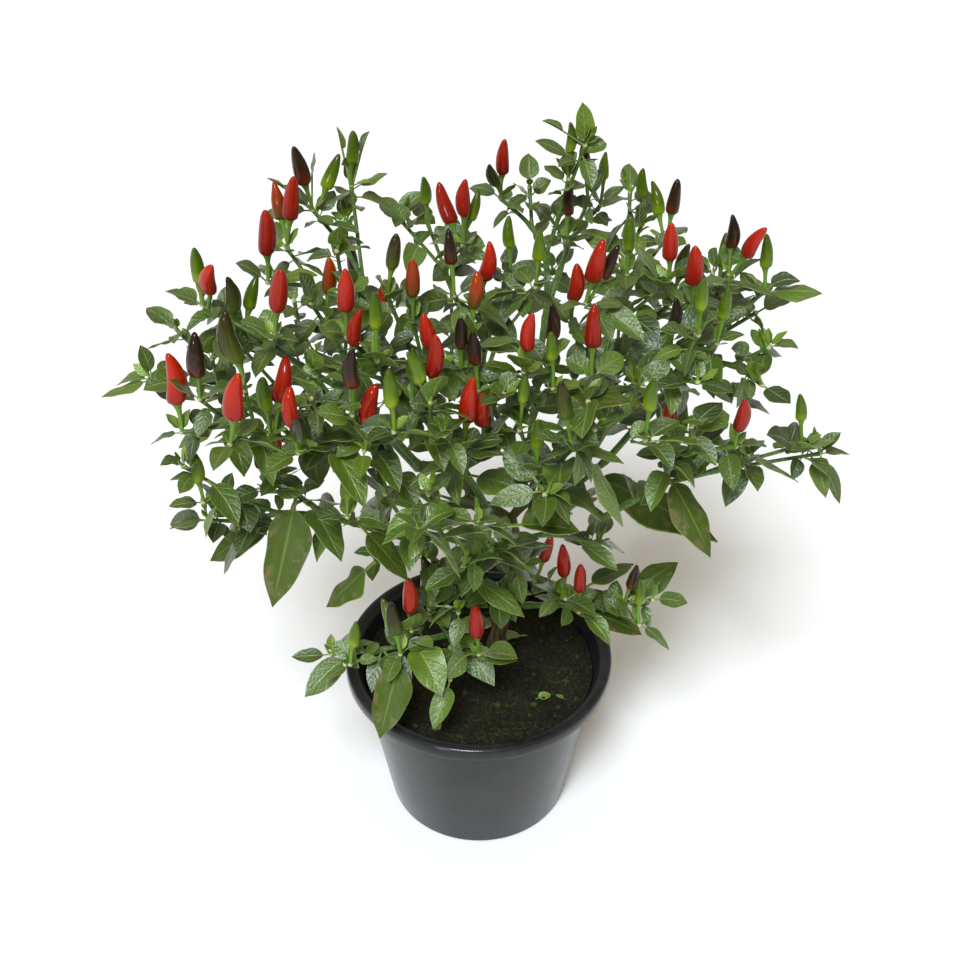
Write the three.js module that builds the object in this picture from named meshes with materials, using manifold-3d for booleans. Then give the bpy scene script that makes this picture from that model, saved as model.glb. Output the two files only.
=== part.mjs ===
// Potted chilli pepper plant: a bushy ornamental pepper in a plain nursery pot.
// Millimetres, +Z up. The origin is the centre of the pot's underside, and -Y is the front.

import * as THREE from "three";
import { mergeVertices } from "three/addons/utils/BufferGeometryUtils.js";
import Module from "manifold-3d";

const wasm = await Module();
wasm.setup();

// Pot
const POT_HEIGHT = 138;
const RIM_RADIUS = 100;
const NECK_RADIUS = 90;
const STEP_RADIUS = 89;
const BASE_RADIUS = 69;
const LIP_HEIGHT = 10;
const STEP_DROP = 24;
const WALL = 2.2;
const POT_SIDES = 30;
const DRAIN_COUNT = 6;
const DRAIN_RADIUS = 5;
const DRAIN_RING_RADIUS = 46;

// Soil
const SOIL_LEVEL = 123;
const SOIL_LUMP = 1.6;
const GAP = 0.3;
const STEM_GAP = 0.35;

// Plant
const ROOT_DEPTH = 55;
const CROWN = new THREE.Vector3(27, 20, 214);
const TRUNK_RADII = [5, 6.2, 5.8, 5.4];
const TRUNK_PATH = [
  new THREE.Vector3(12, 22, SOIL_LEVEL - ROOT_DEPTH),
  new THREE.Vector3(14, 22, SOIL_LEVEL + 6),
  new THREE.Vector3(21, 20, 168),
  CROWN,
];
const TWIG_RADIUS = 1.3;
const PIPE_POWER = 0.31;
const HUB_REACH = 0.42;
const SHOOT_REACH = 0.22;
const FORK_REACH = 0.45;
const COLLAR = 2.6;
const NODE_STEP = 2.8;
const POD_LENGTH = 35;
const POD_RADIUS = 6.4;
const STALK_LENGTH = 20;
const STALK_RADIUS = 1.4;
const CALYX_RADIUS = 3.8;
const BLADE_THICKNESS = 1.3;
const PETIOLE_RADIUS = 0.7;
const STUB_RADII = [2.6, 2.4];
const BASE_STRETCH = 3;
const GOLDEN_ANGLE = THREE.MathUtils.degToRad(137.5);
const CLEARANCE = 0.4;
const FORK_SEED = 200;
const LARGE_SEED = 900;
const BARE_BOUGH = "right_shoot";

// A pod or a leaf that meets another is tried again, turned aside a little further each time.
const ATTEMPTS = 8;
const SWING = 0.25;
const PLACED_SWING = 0.08;
const RIGHT = new THREE.Vector3(1, 0, 0);
const UP = new THREE.Vector3(0, 0, 1);

const FINISHES = {
  pot: { color: 0x3d4043, roughness: 0.42, metalness: 0 },
  soil: { color: 0x2a2019, roughness: 0.95, metalness: 0 },
  trunk: { color: 0x4b3d2a, roughness: 0.8, metalness: 0 },
  ripe: { color: 0xb0281b, roughness: 0.25, metalness: 0 },
  bough: { color: 0x3a642f, roughness: 0.5, metalness: 0 },
};

// Each sprig is the tip of a twig: x, y, z, and its pods in order.
// r is ripe red, o turning orange, g green, d dark olive and b brown-black.
const BOUGHS = {
  tall_left: [
    [-85, 95, 480, "g"], [-110, 80, 470, "bg"], [-127, 60, 453, "ro"], [-135, 15, 455, "r"],
    [-90, 20, 475, ""], [-90, 90, 455, ""],
  ],
  back_left: [
    [-174, -5, 450, "gr"], [-155, -5, 425, "dg"], [-124, -50, 458, "r"], [-95, -15, 445, "o"],
    [-180, 20, 435, ""], [-80, -30, 475, ""], [-105, -10, 455, ""],
  ],
  left: [
    [-175, -50, 410, "b"], [-190, -45, 380, "r"], [-220, 20, 375, ""], [-205, 50, 395, ""],
    [-145, -55, 420, "d"], [-150, -100, 413, "r"], [-170, -20, 420, ""],
  ],
  low_left: [
    [-180, -55, 330, "g"], [-180, -50, 310, ""], [-140, -50, 335, "b"], [-190, -55, 360, ""],
    [-135, -45, 350, "r"], [-160, -45, 290, ""], [-120, -45, 330, ""],
  ],
  mid_left: [
    [-110, -95, 402, "rd"], [-130, -70, 397, "gr"], [-75, -100, 435, "b"], [-70, -90, 400, "r"],
    [-100, -65, 390, "b"], [-100, -90, 440, ""], [-98, -78, 448, ""],
  ],
  upper_left: [
    [-80, -55, 460, "r"], [-80, -60, 440, "r"], [-60, -80, 460, "g"], [-62, -30, 434, "rg"],
    [-40, -45, 465, "o"], [-55, -40, 480, "d"], [-25, -65, 440, "r"],
  ],
  centre_left: [
    [-28, -105, 448, "rg"], [-40, -80, 430, "g"], [-50, -110, 430, "g"], [-10, -100, 409, "r"],
    [3, -80, 402, "r"], [-20, -120, 435, ""],
  ],
  centre: [
    [-10, -70, 445, "b"], [-5, -65, 465, "o"], [0, -75, 435, "b"], [27, -80, 452, "r"],
    [45, -55, 440, "b"], [45, -80, 440, "g"], [15, -100, 450, ""],
  ],
  back_centre: [
    [-55, 120, 440, ""], [-35, 120, 435, "g"], [-10, 35, 470, "rgr"], [-15, -40, 480, "b"],
    [1, -10, 455, "r"], [20, -5, 470, "g"], [35, -30, 480, "g"],
  ],
  peak: [
    [15, 110, 462, "rd"], [35, 120, 465, ""], [60, 95, 485, "g"], [75, 110, 460, "b"],
    [60, 90, 440, "b"], [85, 130, 445, "g"], [50, 150, 425, ""], [70, 95, 510, ""],
  ],
  back_right: [
    [115, 120, 440, "g"], [130, 110, 430, "bg"], [120, 0, 465, "r"], [125, 10, 445, "d"],
    [135, -5, 450, "r"], [66, -30, 468, "rb"], [95, 15, 460, "g"], [105, 130, 455, ""],
  ],
  far_right: [
    [161, 20, 458, "br"], [185, 20, 445, "g"], [160, 50, 425, "g"], [155, 50, 440, ""],
    [185, -15, 425, ""], [185, 40, 415, ""], [180, -35, 410, ""],
  ],
  right: [
    [58, -22, 446, "r"], [69, -65, 436, "r"], [120, -30, 430, "b"], [150, -25, 435, "g"],
    [135, -45, 455, "g"], [100, -65, 430, ""], [135, -60, 430, ""],
  ],
  low_right: [
    [120, -55, 370, "r"], [100, -105, 420, "g"], [165, -50, 372, "r"], [215, -20, 350, "g"],
    [230, -10, 335, ""], [175, -45, 360, ""], [130, -85, 415, ""],
  ],
  centre_right: [
    [25, -95, 420, "g"], [55, -115, 425, "d"], [35, -100, 390, "g"], [70, -95, 420, ""],
    [65, -100, 445, ""], [40, -120, 390, ""],
  ],
  behind_left: [
    [-130, 100, 385, ""], [-165, 60, 375, "g"], [-120, 110, 335, ""], [-90, 145, 365, "b"],
    [-180, 35, 330, ""],
  ],
  behind_centre: [
    [-20, 165, 385, "g"], [20, 170, 365, ""], [-50, 160, 345, ""], [5, 150, 325, "b"],
    [55, 165, 370, ""], [-70, 110, 290, ""],
  ],
  behind_right: [
    [105, 150, 385, "g"], [145, 110, 375, ""], [165, 75, 365, "b"], [120, 125, 325, ""],
    [180, 50, 340, ""], [80, 110, 290, ""],
  ],
};

// The low boughs leave the trunk below the crown, each at a place of its own.
const SHOOT_STARTS = {
  front: new THREE.Vector3(25, 20, 196),
  right_shoot: new THREE.Vector3(20.5, 20, 166),
  left_shoot: new THREE.Vector3(19, 20.5, 156),
  inner_shoot: new THREE.Vector3(23, 20, 181),
};
const SHOOTS = {
  front: [
    [-35, -140, 380, ""], [-10, -85, 300, ""], [-85, -70, 330, "g"], [-60, -65, 345, "b"],
    [0, -135, 380, ""], [65, -55, 330, ""], [-30, -120, 390, ""], [20, -65, 300, ""],
    [-70, -40, 265, ""], [85, -10, 255, ""],
  ],
  right_shoot: [
    [40, -22, 230, "r"], [62, -20, 211, "rg"], [72, -20, 198, "r"], [105, -15, 200, "b"],
    [115, -30, 195, "g"], [125, -15, 205, ""],
  ],
  left_shoot: [
    [-47, -50, 208, "r"], [-55, -60, 195, "dg"], [-35, -35, 215, "d"], [0, -55, 190, "r"],
    [-20, -65, 175, ""], [-90, -65, 190, "g"], [-105, -50, 185, ""],
  ],
  inner_shoot: [
    [-10, -35, 250, ""], [-38, -25, 252, ""], [14, -45, 232, ""], [30, -25, 248, ""],
    [-14, -52, 228, ""],
  ],
};

// How far the pods of each bough have grown. The ones at the back and low down stay smaller.
const POD_GROWTH = {
  tall_left: 0.83, back_left: 0.84, left: 1, low_left: 0.85, mid_left: 0.82, upper_left: 0.72,
  centre_left: 0.8, centre: 0.72, back_centre: 0.7, peak: 0.7, back_right: 0.78, far_right: 0.76,
  right: 0.72, low_right: 0.74, centre_right: 0.72, behind_left: 0.8, behind_centre: 0.8,
  behind_right: 0.8, front: 0.8, right_shoot: 0.68, left_shoot: 0.85,
  inner_shoot: 0.8,
};

// Large leaves: the stem end and the tip of the blade, then its width.
const LARGE_LEAVES = {
  low_left: [
    [[-120, -55, 340], [-130, -80, 268], 31], [[-130, -35, 300], [-180, -30, 258], 30],
  ],
  front: [
    [[-80, -45, 270], [-100, -52, 232], 27], [[-70, -75, 330], [-50, -90, 293], 24],
    [[30, -100, 385], [62, -110, 358], 22],
  ],
  low_right: [
    [[120, -40, 350], [150, -75, 305], 25], [[175, -45, 360], [208, -45, 338], 15],
    [[230, -10, 335], [248, 0, 352], 12], [[230, -10, 332], [241, -20, 303], 12],
  ],
  behind_right: [
    [[80, 10, 290], [172, 25, 232], 38],
  ],
  right_shoot: [
    [[100, 0, 212], [152, 8, 210], 24], [[75, -10, 215], [115, 5, 222], 22],
    [[56, -18, 174], [119, -10, 172], 34],
  ],
  inner_shoot: [
    [[-8, -36, 246], [32, -58, 232], 17], [[2, -32, 256], [42, -32, 266], 18],
  ],
  left_shoot: [
    [[-35, -70, 200], [-65, -102, 158], 27], [[-90, -55, 185], [-122, -67, 162], 20],
    [[0, -60, 192], [32, -75, 208], 17],
  ],
  far_right: [[[185, 15, 445], [222, 15, 448], 18]],
  left: [
    [[-220, 20, 373], [-252, 8, 368], 12], [[-218, 22, 378], [-232, 35, 398], 11],
    [[-205, 50, 395], [-229, 60, 406], 14],
  ],
  centre_right: [[[75, -85, 400], [77, -98, 352], 18]],
  centre: [[[45, -75, 435], [92, -100, 440], 22]],
  tall_left: [[[-80, 95, 478], [-58, 92, 492], 11], [[-110, 85, 470], [-146, 88, 462], 13]],
  peak: [[[70, 95, 508], [70, 92, 545], 13], [[60, 95, 500], [34, 92, 516], 12]],
};

// ---- solids ----

// A closed body through rings of points. A ring of one point is a pointed end.
// Facets are split alike on both faces of a blade.
function skin(rings) {
  const points = rings.flat();
  const starts = [];
  let count = 0;
  for (const ring of rings) {
    starts.push(count);
    count += ring.length;
  }
  const faces = [];
  const cap = (start, ring, flip) => {
    for (let k = 1; k + 1 < ring.length; k++) {
      faces.push(start, start + (flip ? k + 1 : k), start + (flip ? k : k + 1));
    }
  };
  for (let i = 0; i + 1 < rings.length; i++) {
    const [near, far] = [starts[i], starts[i + 1]];
    const sides = Math.max(rings[i].length, rings[i + 1].length);
    for (let k = 0; k < sides; k++) {
      const next = (k + 1) % sides;
      if (rings[i].length === 1) {
        faces.push(near, far + next, far + k);
      } else if (rings[i + 1].length === 1) {
        faces.push(near + k, near + next, far);
      } else if (k % 2 === 0) {
        faces.push(near + k, near + next, far + next);
        faces.push(near + k, far + next, far + k);
      } else {
        faces.push(near + k, near + next, far + k);
        faces.push(near + next, far + next, far + k);
      }
    }
  }
  cap(starts[0], rings[0], true);
  cap(starts.at(-1), rings.at(-1), false);
  const geometry = new THREE.BufferGeometry().setFromPoints(points);
  geometry.setIndex(faces);
  return geometry;
}

// The solid of a closed geometry, with shared corners merged and flat slivers dropped.
function solidOf(geometry) {
  const bare = geometry.clone();
  bare.deleteAttribute("normal");
  bare.deleteAttribute("uv");
  const merged = mergeVertices(bare, 1e-4);
  const index = merged.index.array;
  const faces = [];
  for (let i = 0; i < index.length; i += 3) {
    const [a, b, c] = [index[i], index[i + 1], index[i + 2]];
    if (a !== b && b !== c && c !== a) {
      faces.push(a, b, c);
    }
  }
  const vertProperties = new Float32Array(merged.attributes.position.array);
  const triVerts = new Uint32Array(faces);
  return new wasm.Manifold(new wasm.Mesh({ numProp: 3, vertProperties, triVerts }));
}

function geometryOf(solid) {
  const mesh = solid.getMesh();
  const geometry = new THREE.BufferGeometry();
  geometry.setAttribute("position", new THREE.BufferAttribute(mesh.vertProperties, 3));
  geometry.setIndex(new THREE.BufferAttribute(mesh.triVerts, 1));
  geometry.computeVertexNormals();
  return geometry;
}

// Rings of points round a path, with no twist between them. A radius of 0 is a pointed end.
// The last ring has its first point to the left and above, so that a leaf can carry it on.
function stemRings(path, radii, sides) {
  const alongAt = (i) => {
    const before = path[Math.max(i - 1, 0)];
    const after = path[Math.min(i + 1, path.length - 1)];
    return after.clone().sub(before).normalize();
  };
  const rings = [];
  const left = levelLeft(alongAt(path.length - 1));
  for (let i = path.length - 1; i >= 0; i--) {
    const along = alongAt(i);
    left.addScaledVector(along, -left.dot(along)).normalize();
    const upward = new THREE.Vector3().crossVectors(along, left);
    const ring = [];
    for (let k = 0; k < sides; k++) {
      const angle = Math.PI / 6 + (2 * Math.PI * k) / sides;
      const point = path[i].clone().addScaledVector(left, radii[i] * Math.cos(angle));
      ring.push(point.addScaledVector(upward, radii[i] * Math.sin(angle)));
    }
    rings.unshift(radii[i] === 0 ? [path[i]] : ring);
  }
  return rings;
}

// The level direction to the left of a heading.
function levelLeft(along) {
  const left = new THREE.Vector3().crossVectors(UP, along);
  return left.length() < 0.05 ? RIGHT.clone() : left.normalize();
}

function stemSolid(path, radii, sides) {
  return solidOf(skin(stemRings(path, radii, sides)));
}

// ---- seeded choice ----

// A number from 0 to 1 that depends only on the sprig, the leaf and its use.
function draw(sprig, leaf, use) {
  let h = Math.imul(sprig + 1, 0x9e3779b1) ^ Math.imul(leaf + 1, 0x85ebca6b);
  h ^= Math.imul(use + 1, 0xc2b2ae35);
  h = Math.imul(h ^ (h >>> 15), 0x2c1b3c6d);
  h = Math.imul(h ^ (h >>> 12), 0x297a2d39);
  h ^= h >>> 15;
  return (h >>> 0) / 4294967296;
}

function between(low, high, sprig, leaf, use) {
  return low + (high - low) * draw(sprig, leaf, use);
}

// ---- branching ----

function stemRadius(load) {
  return TWIG_RADIUS * load ** PIPE_POWER;
}

function meanPoint(ends) {
  const sum = new THREE.Vector3();
  ends.forEach((end) => sum.add(end.point));
  return sum.divideScalar(ends.length);
}

// Splits the ends in two halves across their widest direction.
function halves(ends) {
  const axes = ["x", "y", "z"];
  const spread = axes.map((axis) => {
    const values = ends.map((end) => end.point[axis]);
    return Math.max(...values) - Math.min(...values);
  });
  const axis = axes[spread.indexOf(Math.max(...spread))];
  const sorted = [...ends].sort((a, b) => a.point[axis] - b.point[axis] || a.order - b.order);
  const middle = Math.ceil(sorted.length / 2);
  return [sorted.slice(0, middle), sorted.slice(middle)];
}

// Forks a stem again and again until it has reached all its ends. One half carries on the stem
// itself, and the other leaves it as a new stem. Every stem is a path of knots with their loads.
function forkStem(stem, ends, stems) {
  const load = ends.reduce((sum, end) => sum + end.load, 0);
  const last = stem.knots.at(-1).point;
  if (ends.length === 1) {
    stem.knots.push({ point: ends[0].point, load });
    stem.end = ends[0];
    return;
  }
  const knot = { point: last.clone().lerp(meanPoint(ends), FORK_REACH), load };
  stem.knots.push(knot);
  const [straight, aside] = halves(ends);
  forkStem(stem, straight, stems);
  const branch = { knots: [{ point: knot.point, load: aside.length }] };
  stems.push(branch);
  forkStem(branch, aside, stems);
}

function growStems(start, ends) {
  const load = ends.reduce((sum, end) => sum + end.load, 0);
  const main = { knots: [{ point: start, load }] };
  const stems = [main];
  forkStem(main, ends, stems);
  return stems;
}

// A stem runs through its knots. One that leaves another starts as a point in its middle, and
// one that ends in a sprig carries on as that sprig's first leaf.
function woodSolid(stem, rooted, attempt = 0) {
  const path = stem.knots.map((knot) => knot.point);
  const radii = stem.knots.map((knot) => stemRadius(knot.load));
  if (rooted) {
    path.splice(1, 0, stepBack(path[0], path[1], COLLAR * radii[0]));
    radii.unshift(0);
  }
  const sides = stem.end.pods === undefined ? 5 : 3;
  const rings = stemRings(path, radii, sides);
  if (sides === 3) {
    rings.push(...endLeafRings(stem.end, path.at(-1).clone().sub(path.at(-2)).normalize(), attempt));
  }
  return solidOf(skin(rings));
}

// The point a distance back from an end towards another.
function stepBack(end, other, distance) {
  return end.clone().addScaledVector(other.clone().sub(end).normalize(), distance);
}

// ---- leaves ----

// The blade's sections, as part of its length and of its half width.
const SMALL_SECTIONS = [[0.36, 1], [0.7, 0.62]];
const LARGE_SECTIONS = [[0.36, 1], [0.7, 0.7]];

// The least and most length of each sort of leaf, and of its width as a share of that.
const END_LENGTH = [21, 33];
const SPRIG_LENGTH = [18, 31];
const FORK_LENGTH = [34, 52];
const BROAD = [0.42, 0.54];
const PETIOLE_SHARE = 0.22;

// A leaf has a base in its stem, a heading, a rise, a droop, and its length and width.
// The blade is flat above, with its midrib as a keel below. A large one stands on a petiole.
function leafSolid(leaf, grow = 0, bladeOnly = false) {
  const heading = new THREE.Vector3(Math.cos(leaf.heading), Math.sin(leaf.heading), 0);
  const spine = (reach) => {
    const lift = reach * Math.sin(leaf.rise) - (leaf.droop * reach * reach) / leaf.length;
    return leaf.base.clone().addScaledVector(heading, reach * Math.cos(leaf.rise)).addScaledVector(UP, lift);
  };
  const section = (reach, half) => {
    const along = spine(reach + 0.5).sub(spine(reach - 0.5)).normalize();
    const side = new THREE.Vector3().crossVectors(UP, heading).applyAxisAngle(along, leaf.roll);
    const normal = new THREE.Vector3().crossVectors(along, side);
    return [
      spine(reach).addScaledVector(side, half + grow).addScaledVector(normal, grow),
      spine(reach).addScaledVector(side, -half - grow).addScaledVector(normal, grow),
      spine(reach).addScaledVector(normal, -BLADE_THICKNESS - grow),
    ];
  };
  const blade = leaf.length - leaf.petiole;
  const rings = (leaf.large ? LARGE_SECTIONS : SMALL_SECTIONS).map(([part, wide]) => (
    section(leaf.petiole + part * blade, (wide * leaf.width) / 2)
  ));
  if (leaf.large) {
    rings.unshift(section(leaf.petiole, PETIOLE_RADIUS));
  }
  if (!bladeOnly) {
    rings.unshift([spine(0)]);
  }
  rings.push([spine(leaf.length + grow)]);
  return solidOf(skin(rings));
}

// The first leaf of a sprig carries on the twig itself, and droops a little.
function endLeafRings(sprig, along, attempt) {
  const order = sprig.order;
  const length = between(...END_LENGTH, order, 0, 1) * (1 - 0.06 * attempt);
  const width = length * between(...BROAD, order, 0, 7);
  const droop = between(0.1, 0.45, order, 0, 4) * (attempt % 2 ? -0.6 : 1);
  const left = levelLeft(along);
  const upward = new THREE.Vector3().crossVectors(along, left);
  const spine = (part) => (
    stepAlong({ point: sprig.point, along }, part * length).addScaledVector(UP, -droop * part * part * length)
  );
  const sections = SMALL_SECTIONS.map(([part, wide]) => [
    spine(part).addScaledVector(left, (wide * width) / 2),
    spine(part).addScaledVector(left, (-wide * width) / 2),
    spine(part).addScaledVector(upward, -BLADE_THICKNESS),
  ]);
  return [...sections, [spine(1)]];
}

// The other leaves round a sprig, in a golden-angle rosette.
function sprigLeaf(sprig, k) {
  const outward = Math.atan2(sprig.along.y, sprig.along.x);
  const order = sprig.order;
  const length = between(...SPRIG_LENGTH, order, k, 1);
  return {
    base: stepAlong(sprig, -NODE_STEP * (k + 0.4)),
    heading: outward + k * GOLDEN_ANGLE + between(-0.35, 0.35, order, k, 2),
    rise: between(0.0, 0.65, order, k, 3),
    droop: between(0.15, 0.5, order, k, 4),
    roll: between(-0.4, 0.4, order, k, 5),
    length,
    width: length * between(...BROAD, order, k, 7),
    petiole: 0,
    large: false,
  };
}

function stepAlong(sprig, reach) {
  return sprig.point.clone().addScaledVector(sprig.along, reach);
}

// A mature leaf where a stem forks, out to one side of it.
function forkLeaf(from, knot, seed, k) {
  const along = knot.point.clone().sub(from.point);
  const length = between(...FORK_LENGTH, seed, k, 1);
  return {
    base: knot.point,
    heading: Math.atan2(along.y, along.x) + (k % 2 ? 1 : -1) * between(0.6, 1.5, seed, k, 2),
    rise: between(0.0, 0.6, seed, k, 3),
    droop: between(0.3, 0.6, seed, k, 4),
    roll: between(-0.4, 0.4, seed, k, 5),
    length,
    width: length * between(...BROAD, seed, k, 7),
    petiole: length * PETIOLE_SHARE,
    large: true,
  };
}

// A hand-placed large leaf, from the nearest point of its bough's stems to its tip.
function placedLeaf([start, tip, width], stems, seed) {
  const wanted = new THREE.Vector3(...start);
  let base = null;
  for (const { knots } of stems) {
    for (let i = 1; i < knots.length; i++) {
      const stretch = new THREE.Line3(knots[i - 1].point, knots[i].point);
      const nearest = stretch.closestPointToPoint(wanted, true, new THREE.Vector3());
      if (!base || nearest.distanceTo(wanted) < base.distanceTo(wanted)) {
        base = nearest;
      }
    }
  }
  const end = new THREE.Vector3(...tip);
  const reach = end.clone().sub(base);
  const length = reach.length();
  const droop = between(0.1, 0.22, seed, 0, 4);
  return {
    base,
    heading: Math.atan2(reach.y, reach.x),
    rise: Math.asin(Math.min(0.99, reach.z / length + droop)),
    droop,
    roll: between(-0.25, 0.25, seed, 0, 5),
    length,
    width,
    petiole: Math.max(length - end.distanceTo(wanted) * 0.85, length * 0.15),
    large: true,
    placed: true,
  };
}

// ---- pods ----

// The pod's outline, as part of its length and of its radius.
const RIPE_SECTIONS = [[0, 0.7], [0.28, 1], [0.74, 0.8]];
const JOINED_SECTIONS = [[0, 0.7], [0.5, 1]];
const POD_SIDES = 5;
const POD_SCALE = { r: 1.04, o: 0.92, g: 0.84, d: 0.95, b: 0.92 };

// The direction a pod stands in: the first is nearly upright, and the others lean round it.
function podStand(sprig, k, attempt) {
  const leans = k === 0 ? [2, 12] : [18, 30];
  const turn = between(0, 2 * Math.PI, sprig.order, k, 11) + (Math.PI / 3) * attempt;
  const tilt = THREE.MathUtils.degToRad(between(...leans, sprig.order, k, 12) + 3 * attempt);
  return new THREE.Vector3(
    Math.sin(tilt) * Math.cos(turn), Math.sin(tilt) * Math.sin(turn), Math.cos(tilt),
  );
}

// A ripe pod is a body of its own just clear of its green stalk, and any other is one with it.
function podParts(sprig, k, attempt) {
  const kind = sprig.pods[k];
  const stand = podStand(sprig, k, attempt);
  const size = POD_SCALE[kind] * sprig.growth * between(0.92, 1.08, sprig.order, k, 13);
  const stalk = STALK_LENGTH * between(0.85, 1.15, sprig.order, k, 14);
  const root = stepAlong(sprig, -NODE_STEP * k);
  const at = (reach) => root.clone().addScaledVector(stand, reach);
  const neck = [root, at(stalk - 2.6), at(stalk)];
  const neckRadii = [0, STALK_RADIUS, CALYX_RADIUS * size];
  const ripe = kind === "r";
  const seat = ripe ? stalk + GAP : stalk;
  const sections = ripe ? RIPE_SECTIONS : JOINED_SECTIONS;
  const path = sections.map(([part]) => at(seat + part * POD_LENGTH * size));
  const radii = sections.map(([, wide]) => wide * POD_RADIUS * size);
  const tip = at(seat + POD_LENGTH * size);
  const roomy = stemSolid([...path, tip], [...radii.map((radius) => radius + CLEARANCE), 0], POD_SIDES);
  if (ripe) {
    const pod = stemSolid([...path, tip], [...radii, 0], POD_SIDES);
    return { stalk: stemSolid(neck, neckRadii, 3), pod, roomy };
  }
  const joined = [...neck.slice(0, 2), ...path, tip];
  return { stalk: stemSolid(joined, [...neckRadii.slice(0, 2), ...radii, 0], POD_SIDES), pod: null, roomy };
}

// ---- pot and soil ----

const STEP_HEIGHT = POT_HEIGHT - STEP_DROP;
const LIP_FOOT = POT_HEIGHT - LIP_HEIGHT;
const FLOOR_EDGE = BASE_RADIUS - 5;
const INNER_WALL = [
  [FLOOR_EDGE, WALL],
  [FLOOR_EDGE + 2.8, WALL + 2.3],
  [STEP_RADIUS - 1.8 - WALL, STEP_HEIGHT],
  [NECK_RADIUS - WALL, LIP_FOOT],
];
const OUTER_WALL = [
  [FLOOR_EDGE - 1, 0],
  [BASE_RADIUS - 2, 1],
  [BASE_RADIUS, 4],
  [STEP_RADIUS - 1.8, STEP_HEIGHT],
  [STEP_RADIUS - 0.6, STEP_HEIGHT + 1.5],
  [NECK_RADIUS, LIP_FOOT],
  [NECK_RADIUS + 1, LIP_FOOT + 5.5],
];
const LIP = [
  [RIM_RADIUS - 2.4, LIP_FOOT + 5],
  [RIM_RADIUS - 2, LIP_FOOT],
  [RIM_RADIUS, LIP_FOOT],
  [RIM_RADIUS, POT_HEIGHT - 3],
  [RIM_RADIUS - 1.4, POT_HEIGHT - 0.6],
  [RIM_RADIUS - 4, POT_HEIGHT],
  [RIM_RADIUS - 7.5, POT_HEIGHT - 1],
  [RIM_RADIUS - 10.5, POT_HEIGHT - 5],
];

// A solid of revolution about Z from an outline of radius and height that starts and ends on the axis.
function turned(outline) {
  const points = outline.map(([radius, height]) => new THREE.Vector2(radius, height));
  return new THREE.LatheGeometry(points, POT_SIDES).rotateX(Math.PI / 2);
}

function potSolid() {
  const innerDown = [...INNER_WALL].reverse();
  let pot = solidOf(turned([[0, 0], ...OUTER_WALL, ...LIP, ...innerDown, [0, WALL]]));
  for (let i = 0; i < DRAIN_COUNT; i++) {
    const angle = (2 * Math.PI * i) / DRAIN_COUNT;
    const hole = new THREE.CylinderGeometry(DRAIN_RADIUS, DRAIN_RADIUS, 4 * WALL, 8);
    hole.rotateX(Math.PI / 2);
    hole.translate(DRAIN_RING_RADIUS * Math.cos(angle), DRAIN_RING_RADIUS * Math.sin(angle), 0);
    pot = pot.subtract(solidOf(hole));
  }
  return pot;
}

function soilLump(x, y) {
  return Math.sin(x / 9 + 1) * Math.cos(y / 11) + 0.6 * Math.sin((x - y) / 6);
}

function soilSolid(stemHole) {
  const side = INNER_WALL.slice(0, 3).map(([radius, height]) => [radius - GAP, height + GAP]);
  const edge = [STEP_RADIUS - WALL - 0.9, SOIL_LEVEL - 1];
  const surface = [74, 52, 28].map((radius) => [radius, SOIL_LEVEL]);
  const earth = turned([[0, WALL + GAP], ...side, edge, ...surface, [0, SOIL_LEVEL]]);
  const places = earth.attributes.position;
  for (let i = 0; i < places.count; i++) {
    if (places.getZ(i) > SOIL_LEVEL - 0.5) {
      places.setZ(i, SOIL_LEVEL + SOIL_LUMP * soilLump(places.getX(i), places.getY(i)));
    }
  }
  return solidOf(earth).subtract(stemHole);
}

// ---- growing ----

// The solids of each node so far, with their boxes.
const grown = new Map();

function boxOf(solid) {
  const { min, max } = solid.boundingBox();
  return new THREE.Box3(new THREE.Vector3(...min), new THREE.Vector3(...max));
}

function place(node, solid) {
  if (!grown.has(node)) {
    grown.set(node, []);
  }
  grown.get(node).push({ solid, box: boxOf(solid) });
}

// Whether a solid crosses nothing in the nodes that the test picks.
function isClear(solid, picks) {
  const box = boxOf(solid);
  const crosses = (piece) => piece.box.intersectsBox(box) && !piece.solid.intersect(solid).isEmpty();
  return [...grown].every(([node, list]) => !picks(node) || !list.some(crosses));
}

// Places a leaf, turned aside a little at a time until its blade crosses nothing.
function placeLeaf(node, leaf) {
  for (let attempt = 0; attempt < ATTEMPTS; attempt++) {
    const step = leaf.placed ? PLACED_SWING : SWING;
    const swing = step * Math.ceil(attempt / 2) * (attempt % 2 ? 1 : -1);
    const bent = { ...leaf, heading: leaf.heading + swing, rise: leaf.rise + 0.06 * attempt };
    const clear = isClear(leafSolid(bent, CLEARANCE), (other) => other !== node);
    if (clear && isClear(leafSolid(bent, 0, true), (other) => other === node)) {
      place(node, leafSolid(bent));
      return;
    }
  }
}

// Places a pod, leant another way each time until it and its stalk cross nothing.
function placePod(bough, sprig, k) {
  for (let attempt = 0; attempt < ATTEMPTS; attempt++) {
    const { stalk, pod, roomy } = podParts(sprig, k, attempt);
    if (isClear(roomy, () => true) && isClear(stalk, (other) => other !== bough.name)) {
      place(bough.name, stalk);
      if (pod) {
        place(`pod_ripe_${String(ripeCount() + 1).padStart(2, "0")}`, pod);
      }
      return;
    }
  }
}

function ripeCount() {
  return [...grown.keys()].filter((name) => name.startsWith("pod_ripe")).length;
}

function trunkSolid(grow) {
  return stemSolid(TRUNK_PATH, TRUNK_RADII.map((radius) => radius + grow), 8);
}

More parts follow.
